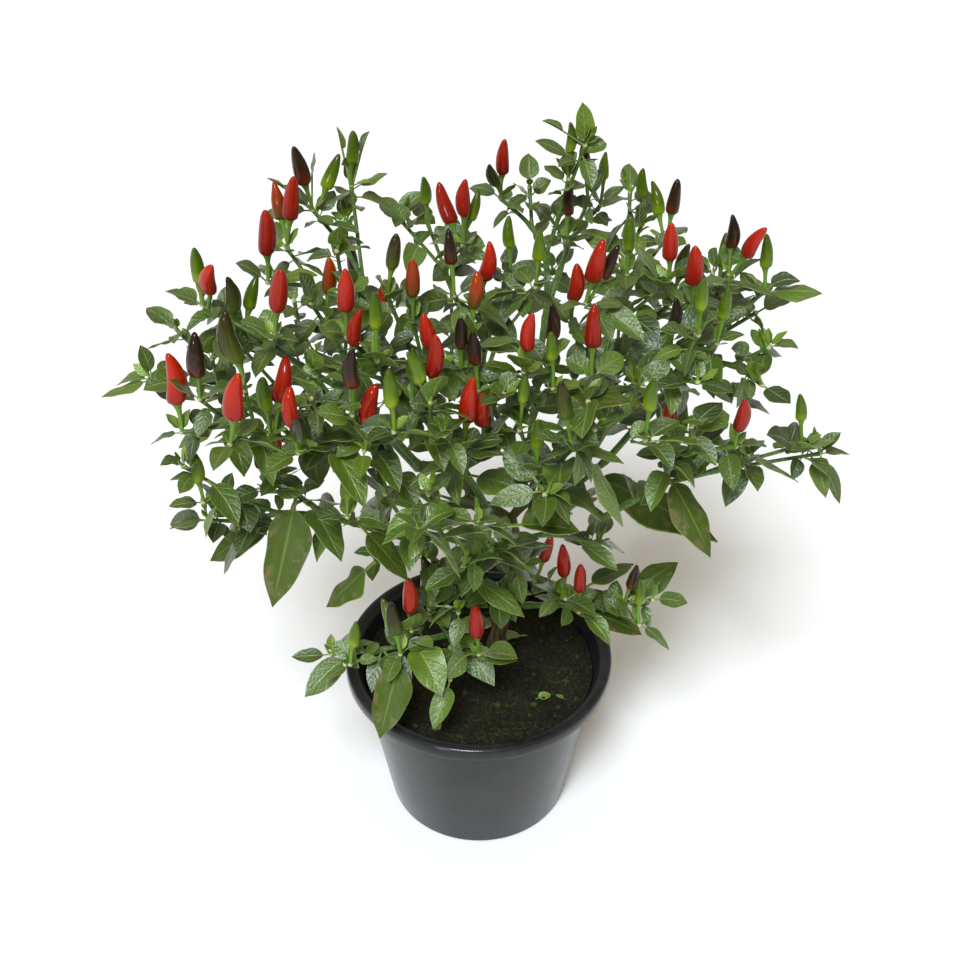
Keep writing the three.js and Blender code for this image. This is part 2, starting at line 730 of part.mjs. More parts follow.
// A bough starts at its hub, on a limb from the crown or a stub from the trunk.
function readBoughs() {
  let order = 0;
  return Object.entries({ ...BOUGHS, ...SHOOTS }).map(([name, list]) => {
    const sprigs = list.map(([x, y, z, pods]) => (
      { point: new THREE.Vector3(x, y, z), pods, growth: POD_GROWTH[name], load: 1, order: order++ }
    ));
    const start = SHOOT_STARTS[name] ?? CROWN;
    const hub = start.clone().lerp(meanPoint(sprigs), name in SHOOTS ? SHOOT_REACH : HUB_REACH);
    return { name, sprigs, start, hub };
  });
}

// The trunk, its limbs to the hubs and the stubs of the low shoots.
function growTrunk(boughs) {
  place("trunk", trunkSolid(0));
  const ends = boughs.filter((bough) => !(bough.name in SHOOTS)).map((bough, i) => (
    { point: bough.hub, load: bough.sprigs.length, order: i, bough }
  ));
  const limbs = growStems(CROWN, ends);
  for (const limb of limbs) {
    place("trunk", woodSolid(limb, limb !== limbs[0]));
    limb.end.bough.direction = lastDirection(limb);
  }
  for (const bough of boughs.filter((bough) => bough.name in SHOOTS)) {
    bough.direction = bough.hub.clone().sub(bough.start).normalize();
    place("trunk", stemSolid([bough.start, bough.hub], STUB_RADII, 4));
  }
}

function lastDirection(stem) {
  return stem.knots.at(-1).point.clone().sub(stem.knots.at(-2).point).normalize();
}

// The first stem of a bough carries straight on from the limb it stands on, a hair's breadth clear.
function boughBase(stem, limbDirection, attempt) {
  const { point, load } = stem.knots[0];
  const foot = [GAP, BASE_STRETCH].map((reach) => (
    { point: point.clone().addScaledVector(limbDirection, reach), load }
  ));
  return woodSolid({ knots: [...foot, ...stem.knots.slice(1)], end: stem.end }, false, attempt);
}

function growBoughStems(bough) {
  bough.stems = growStems(bough.hub, bough.sprigs);
  bough.stems.forEach((stem, i) => {
    stem.end.along = lastDirection(stem);
    let solid = null;
    for (let attempt = 0; attempt < ATTEMPTS && !solid; attempt++) {
      const tried = i === 0 ? boughBase(stem, bough.direction, attempt) : woodSolid(stem, true, attempt);
      solid = isClear(tried, (other) => other !== bough.name) ? tried : null;
    }
    place(bough.name, solid);
  });
}

// The first pod of each sprig, and every ripe one.
function growPods(bough) {
  for (const sprig of bough.sprigs) {
    [...sprig.pods].forEach((kind, k) => {
      if (k === 0 || kind === "r") {
        placePod(bough, sprig, k);
      }
    });
  }
}

function growLargeLeaves(bough) {
  (LARGE_LEAVES[bough.name] ?? []).forEach((entry, i) => {
    placeLeaf(bough.name, placedLeaf(entry, bough.stems, LARGE_SEED + i));
  });
}

// A second leaf on every sprig with no pod and on every other one with pods.
function growSprigLeaves(bough) {
  const leafy = bough.sprigs.filter((sprig) => sprig.pods === "" || sprig.order % 2 === 0);
  leafy.forEach((sprig) => placeLeaf(bough.name, sprigLeaf(sprig, 1)));
}

function growForkLeaves(bough) {
  bough.stems.forEach((stem, i) => {
    const seed = bough.sprigs[0].order + FORK_SEED + i;
    for (let k = 1; k + 1 < stem.knots.length; k += 3) {
      placeLeaf(bough.name, forkLeaf(stem.knots[k - 1], stem.knots[k], seed, k + i));
    }
  });
}

// ---- assembly ----

const boughs = readBoughs();
growTrunk(boughs);
boughs.forEach(growBoughStems);
boughs.forEach(growPods);
boughs.forEach(growLargeLeaves);
boughs.forEach(growSprigLeaves);
boughs.filter((bough) => bough.name !== BARE_BOUGH).forEach(growForkLeaves);
place("pot", potSolid());
place("soil", soilSolid(trunkSolid(STEM_GAP)));

const plant = new THREE.Group();
for (const [name, list] of grown) {
  const whole = list.slice(1).reduce((sum, piece) => sum.add(piece.solid), list[0].solid);
  const finish = FINISHES[name] ?? (name.startsWith("pod_ripe") ? FINISHES.ripe : FINISHES.bough);
  const mesh = new THREE.Mesh(geometryOf(whole), new THREE.MeshStandardMaterial(finish));
  mesh.name = name;
  plant.add(mesh);
}

export default plant;
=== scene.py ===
# %% [markdown]
# # A potted chilli pepper plant
# The plant is a bushy ornamental pepper in a plain nursery pot. Its solids are already in the
# frame, where every bough is a node of its own, and so is every ripe pod.
# This lesson dresses them: it grows the same stems again, finer, and hangs real leaves on them.
# Everything is in metres in the frame, and the growth plan is in millimetres.

# %% Load the frame
import math
from dataclasses import dataclass, field, replace
from itertools import product

import bpy
import numpy as np
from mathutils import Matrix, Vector, noise
from mathutils.bvhtree import BVHTree
from mathutils.geometry import interpolate_bezier, intersect_point_line


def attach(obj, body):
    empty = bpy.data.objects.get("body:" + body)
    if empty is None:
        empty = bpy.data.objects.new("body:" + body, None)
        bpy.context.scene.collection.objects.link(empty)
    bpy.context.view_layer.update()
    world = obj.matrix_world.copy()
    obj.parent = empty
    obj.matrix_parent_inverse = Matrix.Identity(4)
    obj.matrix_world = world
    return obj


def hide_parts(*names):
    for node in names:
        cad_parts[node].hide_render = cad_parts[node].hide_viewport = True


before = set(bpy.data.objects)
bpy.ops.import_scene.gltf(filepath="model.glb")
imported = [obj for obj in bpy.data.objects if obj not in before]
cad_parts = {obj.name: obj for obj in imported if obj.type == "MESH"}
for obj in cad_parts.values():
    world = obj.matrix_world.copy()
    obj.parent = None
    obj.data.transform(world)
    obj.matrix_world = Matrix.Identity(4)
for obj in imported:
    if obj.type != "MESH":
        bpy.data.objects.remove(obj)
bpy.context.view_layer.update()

MM = 0.001
scene = bpy.context.scene

# %% [markdown]
# ## Camera and stage
# The plant is looked at from above, as a person bending over it would. A long lens keeps the
# pot from shrinking away below the crown. The stage is a white floor under a bright sky. A far
# softbox beside the camera gives the crown its dark heart, and a small lamp low on the left
# puts glints on the pods. The sky is seen as a white backdrop, but lights the plant only softly.

# %% Camera
CAMERA_PLACE = (0.001, -0.911, 1.043)
CAMERA_PITCH = 39.05
LENS = 63.75
lens = bpy.data.cameras.new("camera")
lens.lens = LENS
camera = bpy.data.objects.new("camera", lens)
camera.location = CAMERA_PLACE
camera.rotation_euler = (math.radians(90 - CAMERA_PITCH), 0, 0)
scene.collection.objects.link(camera)
scene.camera = camera
print("camera", CAMERA_PLACE, "pitch", CAMERA_PITCH)

# %% [markdown]
# Every finish is made of nodes, and the same few kinds come back each time: noise, sums, ramps
# and mixes. Adding each by hand takes five lines. Short helpers keep a finish readable, and a
# value can be a number, a hex colour or what another node gives.


# %% Colours and nodes
def colour(code):
    """An sRGB hex colour as a linear one."""
    parts = [int(code[i:i + 2], 16) / 255 for i in (1, 3, 5)]
    return (*[p / 12.92 if p <= 0.04045 else ((p + 0.055) / 1.055) ** 2.4 for p in parts], 1)


class Nodes:
    """The nodes of a finish or of the sky, and short ways to add to them."""

    def __init__(self, owner, end, values=()):
        owner.use_nodes = True
        self.tree = owner.node_tree
        self.end = self.tree.nodes[end]
        for socket, value in dict(values).items():
            self.end.inputs[socket].default_value = value

    def add(self, kind, inputs=(), **props):
        """A new node. Each input is a number, a hex colour or another node's output."""
        made = self.tree.nodes.new(kind)
        for name, value in props.items():
            setattr(made, name, value)
        for socket, part in dict(inputs).items():
            if isinstance(part, bpy.types.NodeSocket):
                self.tree.links.new(part, made.inputs[socket])
            else:
                made.inputs[socket].default_value = colour(part) if isinstance(part, str) else part
        return made

    def wire(self, feeds):
        """Feeds the sockets of the shader at the end."""
        for socket, part in feeds.items():
            self.tree.links.new(part, self.end.inputs[socket])

    def place(self):
        return self.add("ShaderNodeTexCoord").outputs["Object"]

    def attribute(self, name):
        return self.add("ShaderNodeAttribute", attribute_name=name).outputs["Fac"]

    def stretched(self, place, rise):
        """Places pressed together along Z, which draws a pattern out upwards."""
        inputs = {"Vector": place, "Scale": (1, 1, rise)}
        return self.add("ShaderNodeMapping", inputs).outputs["Vector"]

    def noise(self, place, size, detail, **more):
        """Soft spots of about this size in mm."""
        inputs = {"Vector": place, "Scale": 1000 / size, "Detail": detail, **more}
        return self.add("ShaderNodeTexNoise", inputs).outputs["Fac"]

    def maths(self, operation, *parts):
        return self.add("ShaderNodeMath", enumerate(parts), operation=operation).outputs["Value"]

    def span(self, value, low=0, high=1, to=(0, 1), **props):
        """Carries the reach from low to high over to another one."""
        inputs = {
            "Value": value, "From Min": low, "From Max": high, "To Min": to[0], "To Max": to[1]}
        return self.add("ShaderNodeMapRange", inputs, **props).outputs["Result"]

    def ramp(self, value, first, last, *middle):
        """A colour for every value, from stops of a value and a hex colour."""
        made = self.add("ShaderNodeValToRGB", {"Fac": value})
        stops = made.color_ramp.elements
        for stop, (position, code) in zip((stops[0], stops[1]), (first, last)):
            stop.position = position
            stop.color = colour(code)
        for position, code in middle:
            stops.new(position).color = colour(code)
        return made.outputs["Color"]

    def blend(self, factor, below, above):
        inputs = {"Factor": factor, "A": below, "B": above}
        return self.add("ShaderNodeMix", inputs, data_type="RGBA").outputs["Result"]

    def bump(self, height, strength, depth):
        """The normals of a surface raised by a height, at most this deep in mm."""
        inputs = {"Height": height, "Strength": strength, "Distance": depth * MM}
        return self.add("ShaderNodeBump", inputs).outputs["Normal"]


def finish(name, values):
    """A new material whose shader has these numbers, and its nodes."""
    material = bpy.data.materials.new(name)
    return material, Nodes(material, "Principled BSDF", values)


# %% Floor and light
FLOOR_SIZE = 12
SKY_COLOUR = "#FFF5E2"
SKY_STRENGTH = 0.4
BACKDROP = "#FDFDFD"
LAMP_COLOUR = "#F0F7FF"
LAMPS = {
    "softbox": {"from": (-0.22, -0.95, 1.4), "strength": 3.1, "angle": 18},
    "flash": {"from": (-0.5, -1.0, 0.4), "strength": 0.6, "angle": 8},
}

bpy.ops.mesh.primitive_plane_add(size=FLOOR_SIZE)
floor = bpy.context.object
floor.name = "floor"
paint, nodes = finish("matt_white_paint", {"Roughness": 0.9})
grain = nodes.add("ShaderNodeTexNoise", {"Scale": 3.0}).outputs["Fac"]
nodes.wire({"Base Color": nodes.blend(grain, "#F9F9F8", "#FDFDFD")})
floor.data.materials.append(paint)

world = bpy.data.worlds.new("sky")
nodes = Nodes(world, "Background")
seen = nodes.add("ShaderNodeLightPath").outputs["Is Camera Ray"]
nodes.wire({
    "Color": nodes.blend(seen, SKY_COLOUR, BACKDROP),
    "Strength": nodes.span(seen, to=(SKY_STRENGTH, 1.0)),
})
scene.world = world
scene.view_settings.view_transform = "Standard"

for name, set_up in LAMPS.items():
    lamp = bpy.data.lights.new(name, "SUN")
    lamp.energy = set_up["strength"]
    lamp.color = colour(LAMP_COLOUR)[:3]
    lamp.angle = math.radians(set_up["angle"])
    holder = bpy.data.objects.new(name, lamp)
    holder.rotation_euler = (-Vector(set_up["from"])).to_track_quat("-Z", "Y").to_euler()
    scene.collection.objects.link(holder)
    print(name, set_up)

# %% [markdown]
# ## The growth plan
# A pepper forks at every flower. The plan gives only the tips of the twigs, and the pods that
# stand on them, and the forks are worked out. Drawing every stem by hand would take hundreds of
# curves, and a rule gives stems that thicken where they join, as real ones do.

# %% Tips of the twigs
# x, y, z, and the pods in order: r ripe, o turning orange, g green, d dark olive, b brown-black.
BOUGHS = {
    "tall_left": [
        (-85, 95, 480, "g"), (-110, 80, 470, "bg"), (-127, 60, 453, "ro"), (-135, 15, 455, "r"),
        (-90, 20, 475, ""), (-90, 90, 455, "")],
    "back_left": [
        (-174, -5, 450, "gr"), (-155, -5, 425, "dg"), (-124, -50, 458, "r"), (-95, -15, 445, "o"),
        (-180, 20, 435, ""), (-80, -30, 475, ""), (-105, -10, 455, "")],
    "left": [
        (-175, -50, 410, "b"), (-190, -45, 380, "r"), (-220, 20, 375, ""), (-205, 50, 395, ""),
        (-145, -55, 420, "d"), (-150, -100, 413, "r"), (-170, -20, 420, "")],
    "low_left": [
        (-180, -55, 330, "g"), (-180, -50, 310, ""), (-140, -50, 335, "b"), (-190, -55, 360, ""),
        (-135, -45, 350, "r"), (-160, -45, 290, ""), (-120, -45, 330, "")],
    "mid_left": [
        (-110, -95, 402, "rd"), (-130, -70, 397, "gr"), (-75, -100, 435, "b"), (-70, -90, 400, "r"),
        (-100, -65, 390, "b"), (-100, -90, 440, ""), (-98, -78, 448, "")],
    "upper_left": [
        (-80, -55, 460, "r"), (-80, -60, 440, "r"), (-60, -80, 460, "g"), (-62, -30, 434, "rg"),
        (-40, -45, 465, "o"), (-55, -40, 480, "d"), (-25, -65, 440, "r")],
    "centre_left": [
        (-28, -105, 448, "rg"), (-40, -80, 430, "g"), (-50, -110, 430, "g"), (-10, -100, 409, "r"),
        (3, -80, 402, "r"), (-20, -120, 435, "")],
    "centre": [
        (-10, -70, 445, "b"), (-5, -65, 465, "o"), (0, -75, 435, "b"), (27, -80, 452, "r"),
        (45, -55, 440, "b"), (45, -80, 440, "g"), (15, -100, 450, "")],
    "back_centre": [
        (-55, 120, 440, ""), (-35, 120, 435, "g"), (-10, 35, 470, "rgr"), (-15, -40, 480, "b"),
        (1, -10, 455, "r"), (20, -5, 470, "g"), (35, -30, 480, "g")],
    "peak": [
        (15, 110, 462, "rd"), (35, 120, 465, ""), (60, 95, 485, "g"), (75, 110, 460, "b"),
        (60, 90, 440, "b"), (85, 130, 445, "g"), (50, 150, 425, ""), (70, 95, 510, "")],
    "back_right": [
        (115, 120, 440, "g"), (130, 110, 430, "bg"), (120, 0, 465, "r"), (125, 10, 445, "d"),
        (135, -5, 450, "r"), (66, -30, 468, "rb"), (95, 15, 460, "g"), (105, 130, 455, "")],
    "far_right": [
        (161, 20, 458, "br"), (185, 20, 445, "g"), (160, 50, 425, "g"), (155, 50, 440, ""),
        (185, -15, 425, ""), (185, 40, 415, ""), (180, -35, 410, "")],
    "right": [
        (58, -22, 446, "r"), (69, -65, 436, "r"), (120, -30, 430, "b"), (150, -25, 435, "g"),
        (135, -45, 455, "g"), (100, -65, 430, ""), (135, -60, 430, "")],
    "low_right": [
        (120, -55, 370, "r"), (100, -105, 420, "g"), (165, -50, 372, "r"), (215, -20, 350, "g"),
        (230, -10, 335, ""), (175, -45, 360, ""), (130, -85, 415, "")],
    "centre_right": [
        (25, -95, 420, "g"), (55, -115, 425, "d"), (35, -100, 390, "g"), (70, -95, 420, ""),
        (65, -100, 445, ""), (40, -120, 390, "")],
    "behind_left": [
        (-130, 100, 385, ""), (-165, 60, 375, "g"), (-120, 110, 335, ""), (-90, 145, 365, "b"),
        (-180, 35, 330, "")],
    "behind_centre": [
        (-20, 165, 385, "g"), (20, 170, 365, ""), (-50, 160, 345, ""), (5, 150, 325, "b"),
        (55, 165, 370, ""), (-70, 110, 290, "")],
    "behind_right": [
        (105, 150, 385, "g"), (145, 110, 375, ""), (165, 75, 365, "b"), (120, 125, 325, ""),
        (180, 50, 340, ""), (80, 110, 290, "")],
}
SHOOTS = {
    "front": [
        (-35, -140, 380, ""), (-10, -85, 300, ""), (-85, -70, 330, "g"), (-60, -65, 345, "b"),
        (0, -135, 380, ""), (65, -55, 330, ""), (-30, -120, 390, ""), (20, -65, 300, ""),
        (-70, -40, 265, ""), (85, -10, 255, "")],
    "right_shoot": [
        (40, -22, 230, "r"), (62, -20, 211, "rg"), (72, -20, 198, "r"), (105, -15, 200, "b"),
        (115, -30, 195, "g"), (125, -15, 205, "")],
    "left_shoot": [
        (-47, -50, 208, "r"), (-55, -60, 195, "dg"), (-35, -35, 215, "d"), (0, -55, 190, "r"),
        (-20, -65, 175, ""), (-90, -65, 190, "g"), (-105, -50, 185, "")],
    "inner_shoot": [
        (-10, -35, 250, ""), (-38, -25, 252, ""), (14, -45, 232, ""), (30, -25, 248, ""),
        (-14, -52, 228, "")],
}
SHOOT_STARTS = {
    "front": (25, 20, 196), "right_shoot": (20.5, 20, 166), "left_shoot": (19, 20.5, 156),
    "inner_shoot": (23, 20, 181),
}

# %% Leaves that stand out
# The stem end and the tip of the blade, then its width.
LARGE_LEAVES = {
    "tall_left": [
        ((-80, 95, 478), (-58, 92, 492), 11), ((-110, 85, 470), (-146, 88, 462), 13),
        ((-77, 95, 509), (-54, 95, 523), 8), ((-93, 90, 506), (-101, 88, 528), 9),
        ((-80, 92, 506), (-71, 86, 502), 8), ((-89, 92, 489), (-99, 88, 503), 9),
        ((-119, 80, 493), (-127, 78, 512), 11), ((-127, 80, 492), (-145, 76, 496), 7)],
    "peak": [
        ((70, 95, 508), (70, 92, 545), 14), ((60, 95, 500), (34, 92, 516), 12),
        ((57, 100, 519), (38, 98, 526), 10), ((72, 92, 506), (83, 90, 524), 9)],
    "low_left": [
        ((-120, -55, 340), (-130, -80, 268), 31), ((-130, -35, 300), (-180, -30, 258), 30)],
    "front": [
        ((-80, -45, 270), (-100, -52, 232), 27), ((-70, -75, 330), (-50, -90, 293), 24),
        ((30, -100, 385), (62, -110, 358), 22)],
    "low_right": [
        ((120, -40, 350), (150, -75, 305), 25), ((175, -45, 360), (208, -45, 338), 15),
        ((230, -10, 335), (248, 0, 352), 12), ((230, -10, 332), (241, -20, 303), 12)],
    "behind_right": [((80, 10, 290), (172, 25, 232), 38)],
    "right_shoot": [
        ((100, 0, 212), (152, 8, 210), 24), ((75, -10, 215), (115, 5, 222), 22),
        ((56, -18, 174), (119, -10, 172), 34)],
    "inner_shoot": [((-8, -36, 246), (32, -58, 232), 17), ((2, -32, 256), (42, -32, 266), 18)],
    "left_shoot": [
        ((-35, -70, 200), (-65, -102, 158), 27), ((-90, -55, 185), (-122, -67, 162), 20),
        ((0, -60, 192), (32, -75, 208), 17)],
    "far_right": [((185, 15, 445), (222, 15, 448), 18)],
    "left": [
        ((-220, 20, 373), (-252, 8, 368), 12), ((-218, 22, 378), (-232, 35, 398), 11),
        ((-205, 50, 395), (-229, 60, 406), 14)],
    "centre_right": [((75, -85, 400), (77, -98, 352), 18)],
    "centre": [((45, -75, 435), (92, -100, 440), 22)],
}
print(sum(len(leaves) for leaves in LARGE_LEAVES.values()), "leaves placed by hand")

# %% Growth of the pods
# How far the pods of each bough have grown. The ones at the back and low down stay smaller.
POD_GROWTH = {
    "tall_left": 0.83, "back_left": 0.84, "left": 1, "low_left": 0.85, "mid_left": 0.82,
    "upper_left": 0.72, "centre_left": 0.8, "centre": 0.72, "back_centre": 0.7, "peak": 0.7,
    "back_right": 0.78, "far_right": 0.76, "right": 0.72, "low_right": 0.74, "centre_right": 0.72,
    "behind_left": 0.8, "behind_centre": 0.8, "behind_right": 0.8, "front": 0.8,
    "right_shoot": 0.68, "left_shoot": 0.85, "inner_shoot": 0.8,
}
print(len(BOUGHS) + len(SHOOTS), "boughs")

# %% [markdown]
# A leaf's size and turn come from a draw that depends only on which leaf it is. So one leaf can
# be added or taken away, and none of the others moves. A plain random stream would shift them
# all. The last number of a draw only tells its uses apart.

# %% Seeded draws
WORD = 0xFFFFFFFF


def draw(sprig, leaf, use):
    """A number from 0 to 1 that depends only on the sprig, the leaf and its use."""
    h = (sprig + 1) * 0x9E3779B1 ^ (leaf + 1) * 0x85EBCA6B
    h = (h ^ (use + 1) * 0xC2B2AE35) & WORD
    h = (h ^ h >> 15) * 0x2C1B3C6D & WORD
    h = (h ^ h >> 12) * 0x297A2D39 & WORD
    return (h ^ h >> 15) / 2**32


def between(low, high, sprig, leaf, use):
    return low + (high - low) * draw(sprig, leaf, use)


print("first draws", [round(draw(0, 0, use), 3) for use in range(3)])

# %% [markdown]
# ## Forking
# Each stem runs to the middle of the tips that it feeds, and splits them in two halves there.
# One half carries on the stem, and the other leaves it as a branch. A stem's radius follows how
# many tips hang on it, as it does in a real plant, where every tip is fed by its own strands.

# %% Stems
TRUNK_PATH = [(12, 22, 68), (14, 22, 129), (21, 20, 168), (27, 20, 214)]
TRUNK_RADII = [5, 6.2, 5.8, 5.4]
CROWN = Vector(TRUNK_PATH[-1])
TWIG_RADIUS = 1.3
PIPE_POWER = 0.31
HUB_REACH = 0.42
SHOOT_REACH = 0.22
FORK_REACH = 0.45


@dataclass
class Sprig:
    """A place where a twig ends, with its pods."""

    point: Vector
    pods: str
    order: int
    growth: float
    load: int = 1
    along: Vector = None


@dataclass
class Stem:
    """Knots of a place and the load it carries, and the sprig or bough at the end."""

    knots: list
    end: object = None


@dataclass
class Bough:
    """A leafy part of the plant, from its start on the wood, through its hub, to its sprigs."""

    name: str
    order: int
    sprigs: list
    start: Vector
    hub: Vector
    stems: list = field(default_factory=list)
    direction: Vector = None

    @property
    def point(self):
        return self.hub

    @property
    def load(self):
        return len(self.sprigs)


def middle(ends):
    return sum((end.point for end in ends), Vector()) / len(ends)


def halves(ends):
    """Splits the ends in two halves across their widest direction."""
    spread = [max(e.point[a] for e in ends) - min(e.point[a] for e in ends) for a in range(3)]
    axis = spread.index(max(spread))
    ranked = sorted(ends, key=lambda end: (end.point[axis], end.order))
    cut = math.ceil(len(ranked) / 2)
    return ranked[:cut], ranked[cut:]


def fork(stem, ends, stems):
    """Carries a stem on to its ends, and adds each branch to the stems."""
    load = sum(end.load for end in ends)
    last = stem.knots[-1][0]
    if len(ends) == 1:
        stem.knots.append((ends[0].point, load))
        stem.end = ends[0]
        return
    knot = last.lerp(middle(ends), FORK_REACH)
    stem.knots.append((knot, load))
    straight, aside = halves(ends)
    fork(stem, straight, stems)
    branch = Stem([(knot, len(aside))])
    stems.append(branch)
    fork(branch, aside, stems)


def grow_stems(start, ends):
    main = Stem([(start, sum(end.load for end in ends))])
    stems = [main]
    fork(main, ends, stems)
    return stems


# %% Boughs and limbs
def read_boughs():
    boughs = []
    order = 0
    for name, tips in {**BOUGHS, **SHOOTS}.items():
        sprigs = [
            Sprig(Vector((x, y, z)), kinds, order + i, POD_GROWTH[name])
            for i, (x, y, z, kinds) in enumerate(tips)]
        order += len(sprigs)
        start = Vector(SHOOT_STARTS.get(name, CROWN))
        hub = start.lerp(middle(sprigs), SHOOT_REACH if name in SHOOTS else HUB_REACH)
        boughs.append(Bough(name, len(boughs), sprigs, start, hub))
    return boughs


def last_direction(stem):
    return (stem.knots[-1][0] - stem.knots[-2][0]).normalized()


boughs = read_boughs()
limbs = grow_stems(CROWN, [bough for bough in boughs if bough.name not in SHOOTS])
for limb in limbs:
    limb.end.direction = last_direction(limb)
for bough in boughs:
    if bough.name in SHOOTS:
        bough.direction = (bough.hub - bough.start).normalized()
    bough.stems = grow_stems(bough.hub, bough.sprigs)
    for stem in bough.stems:
        stem.end.along = last_direction(stem)
sprigs = [sprig for bough in boughs for sprig in bough.sprigs]
stem_count = sum(len(bough.stems) for bough in boughs)
print(len(limbs), "limbs,", stem_count, "stems,", len(sprigs), "sprigs")

# %% [markdown]
# ## Stems as meshes
# A stem is round, tapers, bends gently from knot to knot and swells at each joint. A curve with
# a radius at every point and a round bevel gives just that, and turns into a mesh at the end.
# Skin modifiers would do it too, but they blister where many thin branches meet.


# %% Helpers for objects
def pick(*pieces):
    """Selects these objects and nothing else, the last one active."""
    bpy.ops.object.select_all(action="DESELECT")
    for piece in pieces:
        piece.select_set(True)
        bpy.context.view_layer.objects.active = piece


def join(name, pieces):
    pick(*pieces)
    bpy.ops.object.join()
    whole = bpy.context.object
    whole.name = name
    return whole


def places_of(piece):
    flat = np.empty(len(piece.data.vertices) * 3, np.float32)
    piece.data.vertices.foreach_get("co", flat)
    return flat.reshape(-1, 3).astype(float)


def set_places(piece, places):
    piece.data.vertices.foreach_set("co", np.asarray(places, np.float32).ravel())
    piece.data.update()


def set_share(piece, name, values):
    """A number at every corner of the mesh, for the material to read."""
    layer = piece.data.attributes.get(name) or piece.data.attributes.new(name, "FLOAT", "POINT")
    values = np.broadcast_to(values, len(piece.data.vertices))
    layer.data.foreach_set("value", values.astype(np.float32))


def copy_of(blank, name):
    piece = blank.copy()
    piece.data = blank.data.copy()
    piece.name = name
    scene.collection.objects.link(piece)
    return piece


def smooth_faces(piece, angle=40):
    pick(piece)
    bpy.ops.object.shade_smooth_by_angle(angle=math.radians(angle))


def carry(piece, slot, *nodes):
    """A finished piece rides with the plant, and stands for these nodes."""
    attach(piece, "root")
    if nodes:
        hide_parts(*nodes)
    print(piece.name, len(piece.data.polygons), "faces")


# %% Tubes
STEP_LENGTH = 6.0
SWELLING = 0.3
SWELLING_REACH = 3.2
NOTHING_NEAR = 99
FOOT_LENGTH = 3
TRUNK_SIDES = 16
LIMB_SIDES = 10
STEM_SIDES = 8
STEM_CREASE = 60


def stem_radius(load):
    return TWIG_RADIUS * load**PIPE_POWER


def smooth_path(points, radii, swollen):
    """Places and radii on one smooth curve through the knots, thicker close to the swollen ones."""
    last = len(points) - 1
    slopes = [points[min(i + 1, last)] - points[max(i - 1, 0)] for i in range(last + 1)]
    path = []
    for i in range(last):
        ends = points[i:i + 2]
        span = (ends[1] - ends[0]).length
        steps = max(2, round(span / STEP_LENGTH))
        reach = [slopes[j].normalized() * span / 3 for j in (i, i + 1)]
        bend = interpolate_bezier(
            ends[0], ends[0] + reach[0], ends[1] - reach[1], ends[1], steps + 1)
        for j, place in enumerate(bend[: None if i + 1 == last else -1]):
            radius = radii[i] + (radii[i + 1] - radii[i]) * (j / steps)
            near = min([(place - knot).length for knot in swollen], default=NOTHING_NEAR)
            swollen_by = SWELLING * math.exp(-((near / SWELLING_REACH) ** 2))
            path.append((place, radius * (1 + swollen_by)))
    return path


def tubes(name, paths, sides):
    """One mesh of round stems, closed at both ends."""
    curve = bpy.data.curves.new(name, "CURVE")
    curve.dimensions = "3D"
    curve.bevel_depth = MM
    curve.bevel_resolution = sides // 2 - 2
    curve.use_fill_caps = True
    for path in paths:
        spline = curve.splines.new("POLY")
        spline.points.add(len(path) - 1)
        for point, (place, radius) in zip(spline.points, path):
            point.co = (*(place * MM), 1)
            point.radius = radius
    piece = bpy.data.objects.new(name, curve)
    scene.collection.objects.link(piece)
    pick(piece)
    bpy.ops.object.convert(target="MESH")
    return bpy.context.object


def stem_path(stem):
    points = [point for point, _ in stem.knots]
    return smooth_path(points, [stem_radius(load) for _, load in stem.knots], points)


def bough_paths(bough):
    """The stems of a bough. The first one carries straight on from the limb it stands on."""
    first = bough.stems[0]
    foot = [(bough.hub + bough.direction * reach, first.knots[0][1]) for reach in (0, FOOT_LENGTH)]
    stems = [Stem(foot + first.knots[1:], first.end), *bough.stems[1:]]
    return [stem_path(stem) for stem in stems]


for bough in boughs:
    bough.paths = bough_paths(bough)
print(sum(len(path) for bough in boughs for path in bough.paths), "places along the stems")

# %% [markdown]
# ## Nursery pot
# The pot is injection moulded from black recycled polypropylene. It is one thin wall: a drum
# that widens upwards, a small step, a short neck, and a lip rolled outwards. A moulded pot is
# round all over, so one outline is spun about the middle. Turning the outline as one closed
# line gives the wall its real thickness, which a shell with a modifier would only guess at.

# %% Pot outline
POT_HEIGHT = 138
RIM_RADIUS = 100
NECK_RADIUS = 90
STEP_RADIUS = 89
BASE_RADIUS = 69
WALL = 2.2
STEP_HEIGHT = POT_HEIGHT - 24
LIP_FOOT = POT_HEIGHT - 10
FLOOR_EDGE = BASE_RADIUS - 5
TURNS = 120
OUTER_WALL = [
    (FLOOR_EDGE - 1, 0), (BASE_RADIUS - 2, 0.6), (BASE_RADIUS - 0.6, 1.8), (BASE_RADIUS, 4),
    (STEP_RADIUS - 1.8, STEP_HEIGHT), (STEP_RADIUS - 0.3, STEP_HEIGHT + 0.5),
    (STEP_RADIUS - 0.1, STEP_HEIGHT + 1.3), (STEP_RADIUS - 0.8, STEP_HEIGHT + 2.2),
    (STEP_RADIUS - 0.4, STEP_HEIGHT + 7), (STEP_RADIUS + 0.6, STEP_HEIGHT + 7.4),
    (STEP_RADIUS + 0.7, STEP_HEIGHT + 8), (STEP_RADIUS + 0.1, STEP_HEIGHT + 8.7),
    (NECK_RADIUS, LIP_FOOT), (NECK_RADIUS + 1, LIP_FOOT + 5.5),
]
